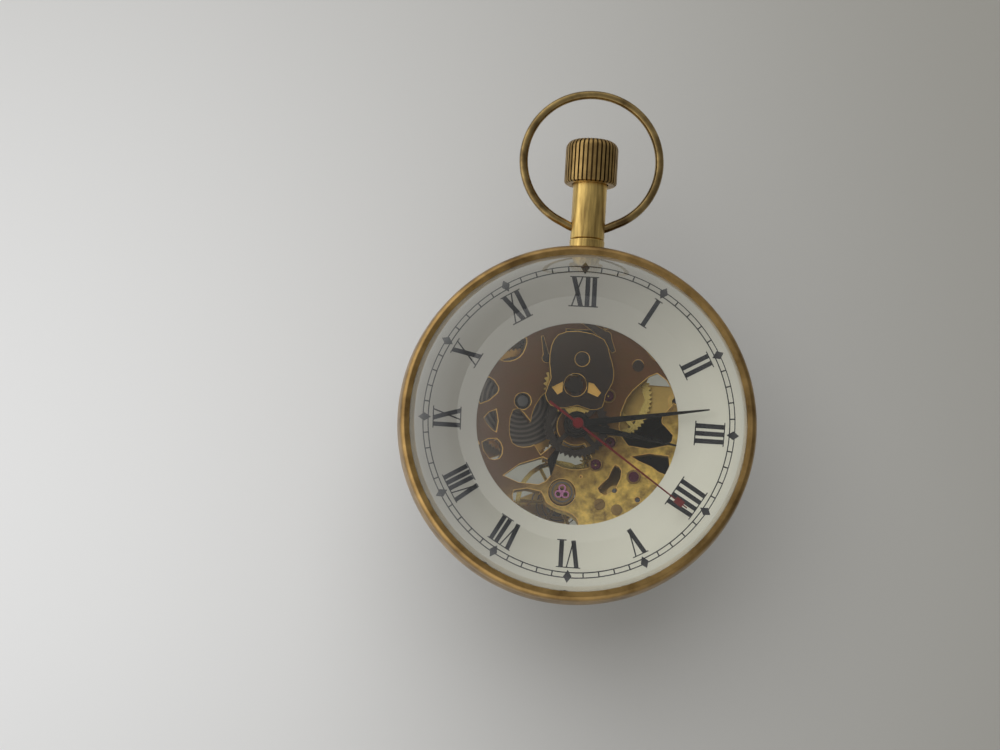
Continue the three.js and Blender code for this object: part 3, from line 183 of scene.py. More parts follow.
def turned(name, section, steps=ROUND_STEPS, on_stem=False):
    """Spins a closed section of (radius, height) points, in millimetres, round its axis."""
    deselect_all()
    bpy.ops.mesh.primitive_plane_add(size=MM)
    piece = named(name)
    open_piece(piece)
    bpy.ops.mesh.merge(type="CENTER")
    path = [Vector((radius * MM, 0, height * MM)) for radius, height in section]
    from_axis_to_axis = section[0][0] == 0 and section[-1][0] == 0
    if not from_axis_to_axis:
        path.append(path[0])
    bpy.ops.transform.translate(value=path[0])
    for before, after in zip(path, path[1:]):
        bpy.ops.mesh.extrude_vertices_move(TRANSFORM_OT_translate={"value": after - before})
    bpy.ops.mesh.select_all(action="SELECT")
    bpy.ops.mesh.spin(steps=steps, angle=math.tau, center=(0, 0, 0), axis=(0, 0, 1))
    bpy.ops.mesh.select_all(action="SELECT")
    bpy.ops.mesh.remove_doubles(threshold=SPIN_DOUBLES)
    bpy.ops.mesh.dissolve_degenerate(threshold=SPIN_DEGENERATE)
    bpy.ops.mesh.select_all(action="SELECT")
    bpy.ops.mesh.normals_make_consistent(inside=False)
    close_piece()
    if on_stem:
        piece.rotation_euler.x = -math.pi / 2
        piece.location.z = STEM_HEIGHT * MM
    else:
        piece.location.z = WAIST * MM
    return put_down(piece)


# %% [markdown]
# ## Helpers for shader nodes
# A material is a tree of nodes. These helpers add a node, set its options, and give each input
# either a value or the socket that drives it, so that a tree reads like a formula. All patterns
# read Object coordinates, which hold still on the piece when the clock moves.

# %% Add and feed nodes
def feed(tree, node, inputs):
    for title, value in inputs.items():
        if isinstance(value, bpy.types.NodeSocket):
            tree.links.new(value, node.inputs[title])
        else:
            node.inputs[title].default_value = value


def add_node(tree, kind, inputs, **options):
    node = tree.nodes.new("ShaderNode" + kind)
    for option, value in options.items():
        setattr(node, option, value)
    feed(tree, node, inputs)
    return node


def maths(tree, operation, *values):
    return add_node(tree, "Math", dict(enumerate(values)), operation=operation).outputs[0]


def ranged(tree, value, low, high, to_low=0.0, to_high=1.0, kind="LINEAR"):
    """Maps low to to_low and high to to_high, and holds the value beyond them."""
    inputs = {"Value": value, "From Min": low, "From Max": high,
              "To Min": to_low, "To Max": to_high}
    return add_node(tree, "MapRange", inputs, interpolation_type=kind).outputs["Result"]


def mixed(tree, factor, first, second):
    inputs = {"Factor": factor, "A": first, "B": second}
    return add_node(tree, "Mix", inputs, data_type="RGBA").outputs["Result"]


def own_place(tree):
    return add_node(tree, "TexCoord", {}).outputs["Object"]


def from_axis(tree, x, y):
    """The distance, in metres, from an upright axis at (x, y)."""
    centred = add_node(tree, "Mapping", {"Vector": own_place(tree), "Location": (-x, -y, 0),
                                         "Scale": (1, 1, 0)})
    inputs = {0: centred.outputs["Vector"]}
    return add_node(tree, "VectorMath", inputs, operation="LENGTH").outputs["Value"]


def ramp(tree, degrees, low, high):
    """Rises from 0 to 1 along one direction of the dial's plane, from low to high in mm."""
    slanted = add_node(tree, "Mapping", {"Vector": own_place(tree),
                                         "Rotation": (0, 0, math.radians(degrees))})
    along = add_node(tree, "SeparateXYZ", {"Vector": slanted.outputs["Vector"]}).outputs["X"]
    return ranged(tree, along, low * MM, high * MM, kind="SMOOTHSTEP")


# %% [markdown]
# ## Shared effects
# Metal is never one flat tone. A fine noise, stretched the way the tool ran, moves the roughness
# and the surface a little, and a slow noise stains the colour. The same two effects serve every
# metal here, so each is a node group with named inputs, placed in each material with its own
# values.

# %% Groups for grain and stain
def new_group(name, inputs, outputs):
    group = bpy.data.node_groups.new(name, "ShaderNodeTree")
    for kind, title, start in inputs:
        socket = group.interface.new_socket(title, in_out="INPUT", socket_type="NodeSocket" + kind)
        if start is not None:
            socket.default_value = start
    for kind, title in outputs:
        group.interface.new_socket(title, in_out="OUTPUT", socket_type="NodeSocket" + kind)
    return group, group.nodes.new("NodeGroupInput").outputs, group.nodes.new("NodeGroupOutput")


NOISE_MIDDLE = 0.5
grain_group, given, made = new_group(
    "tool_grain",
    [("Vector", "Place", None), ("Float", "Scale", 4000.0), ("Float", "Roughness", 0.35),
     ("Float", "Spread", 0.15)],
    [("Float", "Roughness"), ("Float", "Height")],
)
inputs = {"Vector": given["Place"], "Scale": given["Scale"], "Detail": 4.0}
height = add_node(grain_group, "TexNoise", inputs).outputs["Fac"]
centred = maths(grain_group, "SUBTRACT", height, NOISE_MIDDLE)
moved = maths(grain_group, "MULTIPLY_ADD", centred, given["Spread"], given["Roughness"])
feed(grain_group, made, {"Roughness": moved, "Height": height})

STAIN_FROM, STAIN_FULL = 0.35, 0.7
stain_group, given, made = new_group(
    "slow_stain",
    [("Vector", "Place", None), ("Color", "Clean", (0.5, 0.4, 0.2, 1)),
     ("Color", "Stained", (0.3, 0.2, 0.1, 1)), ("Float", "Scale", 300.0),
     ("Float", "Amount", 0.5)],
    [("Color", "Color")],
)
inputs = {"Vector": given["Place"], "Scale": given["Scale"], "Detail": 6.0, "Roughness": 0.6}
clouds = add_node(stain_group, "TexNoise", inputs).outputs["Fac"]
share = maths(stain_group, "MULTIPLY", ranged(stain_group, clouds, STAIN_FROM, STAIN_FULL),
              given["Amount"])
feed(stain_group, made, {"Color": mixed(stain_group, share, given["Clean"], given["Stained"])})
print("groups:", grain_group.name, stain_group.name)

# %% [markdown]
# ## Metals
# Turned brass shows fine rings round its axis. Polar coordinates would do that, but a noise whose
# place is squeezed along one direction is simpler, and a Mapping node does it. The grain comes
# first, because enamel and the floor use it with a colour of their own, and the stain makes it a
# metal. A streaked metal reads its stain from the squeezed place too.

# %% Make a metal
GRAIN_DEPTH = 0.02


def new_material(name):
    material = bpy.data.materials.new(name)
    material.use_nodes = True
    return material, material.node_tree, material.node_tree.nodes["Principled BSDF"]


def grained(name, roughness, spread, bump, stretch=(1, 1, 1)):
    """A material with the tool's grain and no colour yet, and the place that the grain reads."""
    material, tree, shader = new_material(name)
    mapping = add_node(tree, "Mapping", {"Vector": own_place(tree), "Scale": stretch})
    stretched = mapping.outputs["Vector"]
    fine = add_node(tree, "Group", {}, node_tree=grain_group)
    feed(tree, fine, {"Place": stretched, "Roughness": roughness, "Spread": spread})
    relief = add_node(tree, "Bump", {"Height": fine.outputs["Height"], "Strength": bump,
                                     "Distance": GRAIN_DEPTH * MM})
    feed(tree, shader, {"Roughness": fine.outputs["Roughness"],
                        "Normal": relief.outputs["Normal"]})
    return material, stretched


def metal(name, clean, stained, roughness, spread=0.12, bump=0.15, stretch=(1, 1, 1),
          stain_scale=300.0, stain_amount=0.5, metallic=1.0, streaks=False):
    material, stretched = grained(name, roughness, spread, bump, stretch)
    tree = material.node_tree
    slow = add_node(tree, "Group", {
        "Place": stretched if streaks else own_place(tree), "Clean": (*clean, 1),
        "Stained": (*stained, 1), "Scale": stain_scale, "Amount": stain_amount,
    }, node_tree=stain_group)
    feed(tree, tree.nodes["Principled BSDF"], {"Metallic": metallic,
                                               "Base Color": slow.outputs["Color"]})
    return material


# %% The clock's metals
case_brass = metal("case_brass", (0.48, 0.31, 0.12), (0.10, 0.055, 0.021), 0.34,
                   stretch=(1, 1, 6), stain_scale=220, stain_amount=0.75)
crown_brass = metal("crown_brass", (0.54, 0.37, 0.145), (0.16, 0.09, 0.034), 0.34,
                    stretch=(1, 3, 1), stain_scale=500, stain_amount=0.6)
neck_brass = metal("neck_brass", (0.92, 0.66, 0.23), (0.14, 0.075, 0.026), 0.32,
                   stretch=(1, 0.1, 1), stain_scale=1300, stain_amount=0.8, streaks=True)
bow_brass = metal("bow_brass", (0.46, 0.33, 0.14), (0.09, 0.055, 0.024), 0.22,
                  stain_scale=250, stain_amount=0.9)
# A much darker brass for the faces in the crown's flutes.
dark_groove_brass = metal("darkened_groove", (0.13, 0.08, 0.032), (0.05, 0.03, 0.013), 0.5,
                    stain_scale=900)
gilt = metal("gilt_bridge", (0.72, 0.50, 0.16), (0.45, 0.28, 0.08), 0.30, stain_scale=500)
bevel_gold = metal("polished_bevel", (0.80, 0.50, 0.14), (0.60, 0.33, 0.08), 0.34,
                   bump=0.03, metallic=0.6)
wheel_brass = metal("wheel_brass", (0.80, 0.62, 0.20), (0.60, 0.42, 0.12), 0.24,
                    stain_scale=700, stain_amount=0.3)
dull_steel = metal("dull_steel", (0.17, 0.17, 0.18), (0.10, 0.10, 0.10), 0.34)
steel = metal("steel", (0.46, 0.46, 0.47), (0.30, 0.29, 0.28), 0.25, stretch=(8, 1, 1))
dark_steel = metal("dark_steel", (0.065, 0.055, 0.05), (0.035, 0.027, 0.022), 0.30)
cover_steel = metal("cover_steel", (0.055, 0.042, 0.036), (0.10, 0.06, 0.03), 0.24,
                    spread=0.02, bump=0.01, stain_scale=350)
screw_gold = metal("screw_gold", (0.36, 0.23, 0.08), (0.16, 0.09, 0.03), 0.30, stain_scale=900)
blued = metal("blued_spring", (0.16, 0.17, 0.24), (0.10, 0.10, 0.14), 0.25)
print("metals:", len(bpy.data.materials))

# %% [markdown]
# ## The main plate's colour
# The plate is gilt and grainy. A ramp along one slanted direction of the Object coordinates
# paints light and shade on it: dark copper brown, a painted shade, towards the barrel, and bright
# gold, a painted glint, towards the balance. Dark flecks stain the mixture, and a Voronoi texture
# raises grains on it.

# %% Plate material
# The ramp from dark copper to bright gold is painted shade towards the barrel and a painted glint
# towards the balance.
COPPER, PAINTED_GLINT_GOLD, FLECK = (0.13, 0.053, 0.019, 1), (0.95, 0.66, 0.15, 1), (0.11, 0.055, 0.014, 1)
PLATE_SLANT, COPPER_END, GOLD_START = 55, 0.0, 9.5
plate_copper, tree, shader = new_material("plate_copper")
gilding_with_painted_light = mixed(tree, ramp(tree, PLATE_SLANT, COPPER_END, GOLD_START), COPPER, PAINTED_GLINT_GOLD)
flecks = add_node(tree, "Group", {}, node_tree=stain_group)
feed(tree, flecks, {"Place": own_place(tree), "Clean": gilding_with_painted_light, "Stained": FLECK,
                    "Scale": 900.0, "Amount": 0.9})
fine = add_node(tree, "Group", {}, node_tree=grain_group)
feed(tree, fine, {"Place": own_place(tree), "Scale": 2500.0, "Roughness": 0.36, "Spread": 0.2})
grains = add_node(tree, "TexVoronoi", {"Vector": own_place(tree), "Scale": 2600.0})
relief = add_node(tree, "Bump", {"Height": grains.outputs["Distance"], "Strength": 1.0,
                                 "Distance": 0.03 * MM})
feed(tree, shader, {"Metallic": 0.75, "Base Color": flecks.outputs["Color"],
                    "Roughness": fine.outputs["Roughness"], "Normal": relief.outputs["Normal"]})
print("plate:", plate_copper.name, "with", len(tree.nodes), "nodes")

# %% [markdown]
# ## The barrel's drum and the minute wheel's core
# The mainspring's drum is dark and turned with coarse rings, and only its teeth are golden. The
# minute wheel is a golden disc on a dark steel pinion. Each is one solid, so the distance from
# its own axis tells the two finishes apart. On the drum that distance drives a ring wave too.

# %% Golden beyond a radius
def gold_beyond(material, distance, start, end, core):
    """Leaves the metal its own colour beyond a radius, and gives it another within."""
    tree = material.node_tree
    shader = tree.nodes["Principled BSDF"]
    golden = shader.inputs["Base Color"].links[0].from_socket
    edge = ranged(tree, distance, start * MM, end * MM)
    feed(tree, shader, {"Base Color": mixed(tree, edge, core, golden)})


BARREL, DRUM_END, TEETH_START, RING_PITCH = (-5.9, 2.4), 4.75, 4.85, 0.5
DRUM_GROOVE, DRUM_RIDGE = (0.035, 0.030, 0.028, 1), (0.20, 0.17, 0.15, 1)
barrel_metal = metal("barrel_drum", (0.70, 0.40, 0.10), (0.45, 0.24, 0.06), 0.30,
                     stain_scale=700)
tree = barrel_metal.node_tree
distance = from_axis(tree, BARREL[0] * MM, BARREL[1] * MM)
wave = maths(tree, "SINE", maths(tree, "MULTIPLY", distance, math.tau / (RING_PITCH * MM)))
drum = mixed(tree, ranged(tree, wave, -0.6, 1.0), DRUM_GROOVE, DRUM_RIDGE)
gold_beyond(barrel_metal, distance, DRUM_END, TEETH_START, drum)

PINION_END, DISC_START = 1.3, 1.35
minute_metal = metal("minute_wheel_metal", (0.78, 0.56, 0.17), (0.55, 0.36, 0.09), 0.24,
                     stain_scale=700)
wheel_low, wheel_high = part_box("minute_wheel")
distance = from_axis(minute_metal.node_tree, *((wheel_low + wheel_high) / 2).xy)
gold_beyond(minute_metal, distance, PINION_END, DISC_START, (0.05, 0.042, 0.038, 1))
print("golden beyond a radius:", barrel_metal.name, minute_metal.name)

# %% [markdown]
# ## Glass
# The domes are solid glass, so a Principled shader with full transmission and an IOR of 1.5 bends
# the light as a lens does. Cycles would throw a black shadow of a clear solid, so the lamp's
# shadow rays meet a Transparent shader instead.

# %% Glass material
lens_glass, tree, shader = new_material("lens_glass")
feed(tree, shader, {"Base Color": (0.985, 0.992, 0.985, 1), "Roughness": 0.0,
                    "Transmission Weight": 1.0, "IOR": 1.5})
clear = add_node(tree, "BsdfTransparent", {"Color": (0.95, 0.95, 0.94, 1)})
in_shadow = add_node(tree, "LightPath", {}).outputs["Is Shadow Ray"]
either = add_node(tree, "MixShader", {"Fac": in_shadow, 1: shader.outputs["BSDF"],
                                      2: clear.outputs["BSDF"]})
feed(tree, tree.nodes["Material Output"], {"Surface": either.outputs["Shader"]})
print("glass:", lens_glass.name)

# %% [markdown]
# ## Enamel, ink, paint, ruby and rubber
# These are smooth coloured bodies under a clear gloss. Each keeps a faint stain or grain, because
# printed ink is uneven and a seal is dull. The enamel's colour carries painted light and shade: a
# slow ramp between two tones paints it greyer towards 10 o'clock and brighter towards 4 o'clock,
# where the thick glass gathers the lamp's light.

# %% Gloss finishes
GLOSS_SPREAD, GLOSS_BUMP, GLOSS_STAIN, COAT_ROUGHNESS = 0.05, 0.04, 0.4, 0.08


def add_gloss(material, coat=0.0, gloss=0.5):
    tree = material.node_tree
    feed(tree, tree.nodes["Principled BSDF"], {
        "Coat Weight": coat, "Coat Roughness": COAT_ROUGHNESS, "Specular IOR Level": gloss})
    return material


def glossy(name, clean, stained, roughness, coat=0.0, stain_scale=250.0, gloss=0.5):
    painted = metal(name, clean, stained, roughness, spread=GLOSS_SPREAD, bump=GLOSS_BUMP,
                    stain_scale=stain_scale, stain_amount=GLOSS_STAIN, metallic=0.0)
    return add_gloss(painted, coat, gloss)


# The two enamel tones are painted shade towards 10 o'clock and painted light towards 4 o'clock.
PAINTED_SHADE_ENAMEL, PAINTED_LIGHT_ENAMEL = (0.31, 0.30, 0.275, 1), (0.80, 0.79, 0.68, 1)
ENAMEL_SLANT, PAINTED_SHADE_END, PAINTED_LIGHT_START = 40, -12, 22
enamel = add_gloss(grained("dial_enamel", 0.4, GLOSS_SPREAD, GLOSS_BUMP)[0])
tree = enamel.node_tree
painted_light_ramp = ramp(tree, ENAMEL_SLANT, PAINTED_SHADE_END, PAINTED_LIGHT_START)
feed(tree, tree.nodes["Principled BSDF"],
     {"Base Color": mixed(tree, painted_light_ramp, PAINTED_SHADE_ENAMEL, PAINTED_LIGHT_ENAMEL)})
ink = glossy("numeral_ink", (0.008, 0.010, 0.016), (0.02, 0.022, 0.03), 0.6, gloss=0.15)
black_paint = glossy("black_hand_paint", (0.003, 0.003, 0.003), (0.006, 0.006, 0.006), 0.55,
                     gloss=0.15)
red_paint = glossy("red_hand_paint", (0.13, 0.003, 0.006), (0.08, 0.002, 0.004), 0.5, gloss=0.15)
ruby = glossy("ruby", (0.055, 0.002, 0.018), (0.03, 0.002, 0.01), 0.3, stain_scale=900, gloss=0.3)
pink_ruby = glossy("pink_ruby", (0.42, 0.14, 0.30), (0.25, 0.07, 0.16), 0.15, coat=0.6,
                   stain_scale=900)
rubber = glossy("rubber_seal", (0.02, 0.02, 0.02), (0.035, 0.035, 0.03), 0.8)
print("finishes:", len(bpy.data.materials))

# %% [markdown]
# ## The band and its two bezels
# The band is a brass ring that bulges a little. Each bezel is a thinner ring that drops over a
# step of the band and leans in over the edge of its glass. They are turned with the sections of
# the CAD source, but with 192 steps and small bevels on their edges, because a lathe never leaves
# a knife edge.

# %% Turn the band
EDGE_RADIUS, BAND_RADIUS, BAND_BORE = 29.6, 30.0, 27.3
REBATE_RADIUS, REBATE_DEPTH, FIT = 28.7, 0.8, 0.05
LEDGE_RADIUS, LEDGE_LEVEL, LEDGE_FOOT = 25.6, -1.9, -2.7
CASE_BEVEL = 0.08


def bulge(level, edge):
    return (BAND_RADIUS - (BAND_RADIUS - EDGE_RADIUS) * (level / edge) ** 2, level)


front_edge, rear_edge = BAND_FRONT - REBATE_DEPTH, -(BAND_REAR - REBATE_DEPTH)
outside = [bulge(rear_edge * t, rear_edge) for t in (1, 0.8, 0.6, 0.4, 0.2)]
outside += [bulge(front_edge * t, front_edge) for t in (0, 0.2, 0.4, 0.6, 0.8, 1)]
inside = [
    (REBATE_RADIUS, front_edge), (REBATE_RADIUS, BAND_FRONT), (BAND_BORE, BAND_FRONT),
    (BAND_BORE, LEDGE_LEVEL), (LEDGE_RADIUS, LEDGE_LEVEL), (LEDGE_RADIUS, LEDGE_FOOT),
    (BAND_BORE, LEDGE_FOOT), (BAND_BORE, -BAND_REAR), (REBATE_RADIUS, -BAND_REAR),
    (REBATE_RADIUS, rear_edge),
]
band = bevel(turned("brass_band", outside + inside), CASE_BEVEL)
dress(band, "case", case_brass, "case_band")
print("band faces:", len(band.data.polygons))

# %% Turn the bezels
GLASS_RADIUS, GLASS_CENTRE, LIP, LIP_CHAMFER = 28.3, 0.9, 2.2, 0.25


def glass_radius_at(level):
    return math.sqrt(GLASS_RADIUS**2 - (level - GLASS_CENTRE) ** 2)


def bezel_section(seat):
    """Outside from the foot up to the lip, then down along the glass."""
    foot, top = seat - REBATE_DEPTH + FIT, seat + LIP
    along_glass = [(glass_radius_at(BAND_FRONT + FIT + rise) + FIT, seat + FIT + rise)
                   for rise in (LIP - LIP_CHAMFER, LIP / 2, 0)]
    return [
        (REBATE_RADIUS + FIT, seat + FIT), (REBATE_RADIUS + FIT, foot), (EDGE_RADIUS, foot),
        (EDGE_RADIUS, seat + 0.8), (EDGE_RADIUS - 0.1, seat + 1.3),
        (EDGE_RADIUS - 0.35, top - 0.35), (EDGE_RADIUS - 0.85, top), *along_glass,
    ]


rear_section = [(radius, -height) for radius, height in bezel_section(BAND_REAR)]
for side, section in (("front", bezel_section(BAND_FRONT)), ("rear", rear_section)):
    bezel = bevel(turned(side + "_brass_bezel", section), CASE_BEVEL)
    dress(bezel, "case", case_brass, side + "_bezel")
    print(side, "bezel faces:", len(bezel.data.polygons))

# %% [markdown]
# ## The glass domes
# A dome's smoothness decides how clean the picture behind it is, so the arc has 48 steps from rim
# to pole and 192 round. The rear dome has the small ground flat that the clock lies on.

# %% Turn the glasses
REST_RADIUS, ARC_STEPS, RIM_RISE, RIM_INSET = 8.0, 48, 0.15, 0.12


def dome_section(flat):
    seat = BAND_FRONT + FIT
    start = math.asin((seat + RIM_RISE - GLASS_CENTRE) / GLASS_RADIUS)
    end = math.acos(REST_RADIUS / GLASS_RADIUS) if flat else math.pi / 2
    arc = [start + (end - start) * i / ARC_STEPS for i in range(ARC_STEPS + 1)]
    points = [(GLASS_RADIUS * math.cos(a), GLASS_CENTRE + GLASS_RADIUS * math.sin(a)) for a in arc]
    pole = (0, points[-1][1])
    if not flat:
        points.pop()
    return [(0, seat), (glass_radius_at(seat) - RIM_INSET, seat), *points, pole]


front_dome = turned("front_dome", dome_section(False))
dress(front_dome, "case", lens_glass, "front_glass")
turned_over = [(radius, BAND_FRONT - BAND_REAR - height) for radius, height in dome_section(True)]
rear_dome = turned("rear_dome", turned_over)
dress(rear_dome, "case", lens_glass, "rear_glass")
print("dome faces:", len(front_dome.data.polygons), len(rear_dome.data.polygons))

# %% [markdown]
# ## Collar and neck
# A turned collar stands on the band at 12 o'clock, and the neck tube stands on it with one fine
# groove near its foot. Both are spun round the stem's axis. The neck's two side holes, in which
# the bow's ends pivot, are cut with a boolean, as a drill would.

# %% Turn the collar and the neck
COLLAR_FOOT, COLLAR_TOP, COLLAR_RADIUS, COLLAR_CHAMFER = 29.75, 31.4, 2.95, 0.12
NECK_TOP, NECK_RADIUS, NECK_CHAMFER, GROOVE, STEM_BORE, NECK_STEPS = 41.8, 2.88, 0.2, 0.14, 1.2, 96
collar = turned(
    "collar",
    [(STEM_BORE, COLLAR_FOOT), (COLLAR_RADIUS, COLLAR_FOOT),
     (COLLAR_RADIUS, COLLAR_TOP - COLLAR_CHAMFER), (COLLAR_RADIUS - COLLAR_CHAMFER, COLLAR_TOP),
     (STEM_BORE, COLLAR_TOP)],
    NECK_STEPS, on_stem=True,
)
dress(bevel(collar, 0.06), "case", neck_brass, "neck_collar")
neck = turned(
    "neck",
    [(STEM_BORE, COLLAR_TOP + FIT), (NECK_RADIUS - GROOVE, COLLAR_TOP + FIT),
     (NECK_RADIUS, COLLAR_TOP + 0.2), (NECK_RADIUS, NECK_TOP - NECK_CHAMFER),
     (NECK_RADIUS - NECK_CHAMFER, NECK_TOP), (STEM_BORE, NECK_TOP)],
    NECK_STEPS, on_stem=True,
)

# %% Drill the neck for the bow
BOW_PIVOT, BOW_HOLE, PIN_INSET, DRILL_LENGTH = 33.55, 0.85, 1.7, 2.0
for side in (-1, 1):
    deselect_all()
    bpy.ops.mesh.primitive_cylinder_add(
        vertices=40, radius=BOW_HOLE * MM, depth=DRILL_LENGTH * MM,
        rotation=(0, math.pi / 2, 0),
        location=(side * (PIN_INSET + 0.85) * MM, BOW_PIVOT * MM, STEM_HEIGHT * MM))
    cut_away(neck, bpy.context.object)
dress(bevel(neck, 0.05), "case", neck_brass, "neck_tube")
print("neck faces:", len(neck.data.polygons))

# %% [markdown]
# ## The crown
# The real crown is knurled with straight flutes that run over its rounded shoulder and end under
# a shallow dome. It is turned with five faces to a flute. Then two of every five are selected by
# their angle, drawn in from their neighbours by an inset and pushed towards the axis by a
# scaling, which cuts all 36 grooves at once. The grooves' faces get a much darker brass.

# %% Turn the crown
CROWN_RADIUS, CROWN_FOOT, CROWN_HEIGHT = 4.45, 40.9, 7.9
SHOULDER, DOME, FOOT_BEVEL, INNER_BEVEL = 1.5, 0.35, 0.4, 0.15
RECESS, RECESS_DEPTH, SOCKET, SOCKET_ROOF = 3.05, 3.1, 0.8, 2.2
FLUTES, FACES_PER_FLUTE = 36, 5
crown_top = CROWN_FOOT + CROWN_HEIGHT
shoulder = [(CROWN_RADIUS - SHOULDER * (1 - math.cos(a)),
             crown_top - DOME - SHOULDER * (1 - math.sin(a)))
            for a in (math.radians(10 * i) for i in range(10))]
inner = CROWN_RADIUS - SHOULDER
crown = turned(
    "fluted_crown",
    [
        (0, crown_top - SOCKET_ROOF), (SOCKET, crown_top - SOCKET_ROOF),
        (SOCKET, CROWN_FOOT + RECESS_DEPTH), (RECESS, CROWN_FOOT + RECESS_DEPTH),
        (RECESS, CROWN_FOOT + INNER_BEVEL), (RECESS + INNER_BEVEL, CROWN_FOOT),
        (CROWN_RADIUS - FOOT_BEVEL, CROWN_FOOT), (CROWN_RADIUS - 0.1, CROWN_FOOT + 0.2),
        (CROWN_RADIUS, CROWN_FOOT + FOOT_BEVEL), *shoulder,
        (inner * 0.85, crown_top - DOME * 0.72), (inner * 0.55, crown_top - DOME * 0.3),
        (0, crown_top),
    ],
    FLUTES * FACES_PER_FLUTE, on_stem=True,
)
print("crown faces before the flutes:", len(crown.data.polygons))

# %% Cut the flutes
GROOVE_SHARE, GROOVE_DEPTH, GROOVE_INSET, CROWN_SMOOTH = 0.4, 0.3, 0.05, 28
stem_axis = Vector((0, 0, STEM_HEIGHT * MM))


def in_flute(face):
    spoke = face.center - stem_axis
    reach = math.hypot(spoke.x, spoke.z) / MM
    step = math.atan2(spoke.z, spoke.x) / math.tau * FLUTES
    faces_out = face.normal.x * spoke.x + face.normal.z * spoke.z > 0
    on_flank = reach > inner * 1.03 and spoke.y > (CROWN_FOOT + 0.1) * MM
    return faces_out and on_flank and (step % 1.0) < GROOVE_SHARE


crown.data.materials.append(crown_brass)
crown.data.materials.append(dark_groove_brass)
open_piece(crown)
bpy.ops.mesh.select_mode(type="FACE")
bpy.ops.mesh.select_all(action="DESELECT")
bpy.ops.object.mode_set(mode="OBJECT")
for face in crown.data.polygons:
    face.select = in_flute(face)
    face.material_index = 1 if face.select else 0
bpy.ops.object.mode_set(mode="EDIT")
bpy.ops.mesh.inset(thickness=GROOVE_INSET * MM, depth=0, use_boundary=True)
sink = 1 - GROOVE_DEPTH / CROWN_RADIUS
bpy.ops.transform.resize(value=(sink, 1, sink), center_override=stem_axis)
close_piece()
put_down(crown, CROWN_SMOOTH)
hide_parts("crown")
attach(crown, "winding_stem")
darkened_faces = sum(face.material_index for face in crown.data.polygons)
print("crown faces:", len(crown.data.polygons), "dirty:", darkened_faces)

# %% [markdown]
# ## The bow
# The bow is one brass wire bent into a ring, with its two ends turned in to pivot in the neck. A
# curve with a round bevel is the natural way to model bent wire. It is converted to a mesh, and
# its ends get a small bevel, as cut wire is dressed with a file. The springs are wound in the
# same way further down.

# %% Bend a wire
WIRE_DOUBLES = 1e-7


def route_curve(name, points, resolution):
    """A smooth open curve along points (x, y, z), in millimetres."""
    deselect_all()
    bpy.ops.curve.primitive_nurbs_path_add()
    curve = bpy.context.object
    curve.name = name
    spline = curve.data.splines[0]
    spline.points.add(len(points) - len(spline.points))
    for point, (x, y, z) in zip(spline.points, points):
        point.co = (x * MM, y * MM, z * MM, 1)
    spline.use_endpoint_u = True
    spline.order_u = 3
    spline.resolution_u = resolution
    return curve


def wire(name, points, radius, resolution, roundness):
    """A round wire along points (x, y, z), as a mesh with closed ends."""
    curve = route_curve(name, points, resolution)
    curve.data.bevel_depth = radius * MM
    curve.data.bevel_resolution = roundness
    curve.data.use_fill_caps = True
    bpy.ops.object.convert(target="MESH")
    piece = named(name)
    open_piece(piece)
    bpy.ops.mesh.remove_doubles(threshold=WIRE_DOUBLES)
    bpy.ops.mesh.normals_make_consistent(inside=False)
    close_piece()
    return put_down(piece)


# %% Bend the bow
BOW_RADIUS, BOW_WIRE, BOW_GAP, BOW_STEPS = 11.55, 0.72, 22, 72
bow_centre = BOW_PIVOT + BOW_RADIUS - 0.1
pin = [(PIN_INSET, BOW_PIVOT), (2.3, BOW_PIVOT), (2.9, BOW_PIVOT)]
ring = [math.radians(-90 + BOW_GAP + (360 - 2 * BOW_GAP) * i / BOW_STEPS)
        for i in range(BOW_STEPS + 1)]
flat_route = pin + [(BOW_RADIUS * math.cos(a), bow_centre + BOW_RADIUS * math.sin(a)) for a in ring]
flat_route += [(-x, y) for x, y in reversed(pin)]
bow = wire("wire_bow", [(x, y, STEM_HEIGHT) for x, y in flat_route], BOW_WIRE, 4, 6)
bevel(bow, 0.08, limit=60)
dress(bow, "bow", bow_brass, "bow_ring")
print("bow faces:", len(bow.data.polygons))

# %% [markdown]
# ## The dial
# The dial is a ring of enamelled metal. Its print is generic Roman figures, set radially with
# their tops outwards, and a railway track of 60 divisions with a diamond at every hour. The
# print is a skin of ink 0.02 mm high, sunk a little into the enamel. It is made of short strokes:
# one stroke is a cube added at its place in edit mode, and a figure is a few strokes.

# %% Turn the dial
DIAL_FOOT, DIAL_TOP, DIAL_OPENING, DIAL_RADIUS = 0.9, 1.3, 11.2, 26.9
dial = turned("enamel_dial", [(DIAL_OPENING, DIAL_FOOT), (DIAL_RADIUS, DIAL_FOOT),
                              (DIAL_RADIUS, DIAL_TOP), (DIAL_OPENING, DIAL_TOP)])
dress(bevel(dial, CASE_BEVEL), "case", enamel, "dial")
print("dial faces:", len(dial.data.polygons))

# %% Strokes of ink
INK_HIGH, INK_SINK = 0.02, 0.01


def start_print(name):
    """An empty mesh, open in edit mode."""
    deselect_all()
    bpy.ops.mesh.primitive_cube_add(size=MM, location=(0, 0, 0))
    sheet = named(name)
    open_piece(sheet)
    bpy.ops.mesh.delete(type="VERT")
    return sheet


def finish_print(sheet):
    close_piece()
    dress(put_down(sheet), "case", ink)
    print(sheet.name, "faces:", len(sheet.data.polygons))


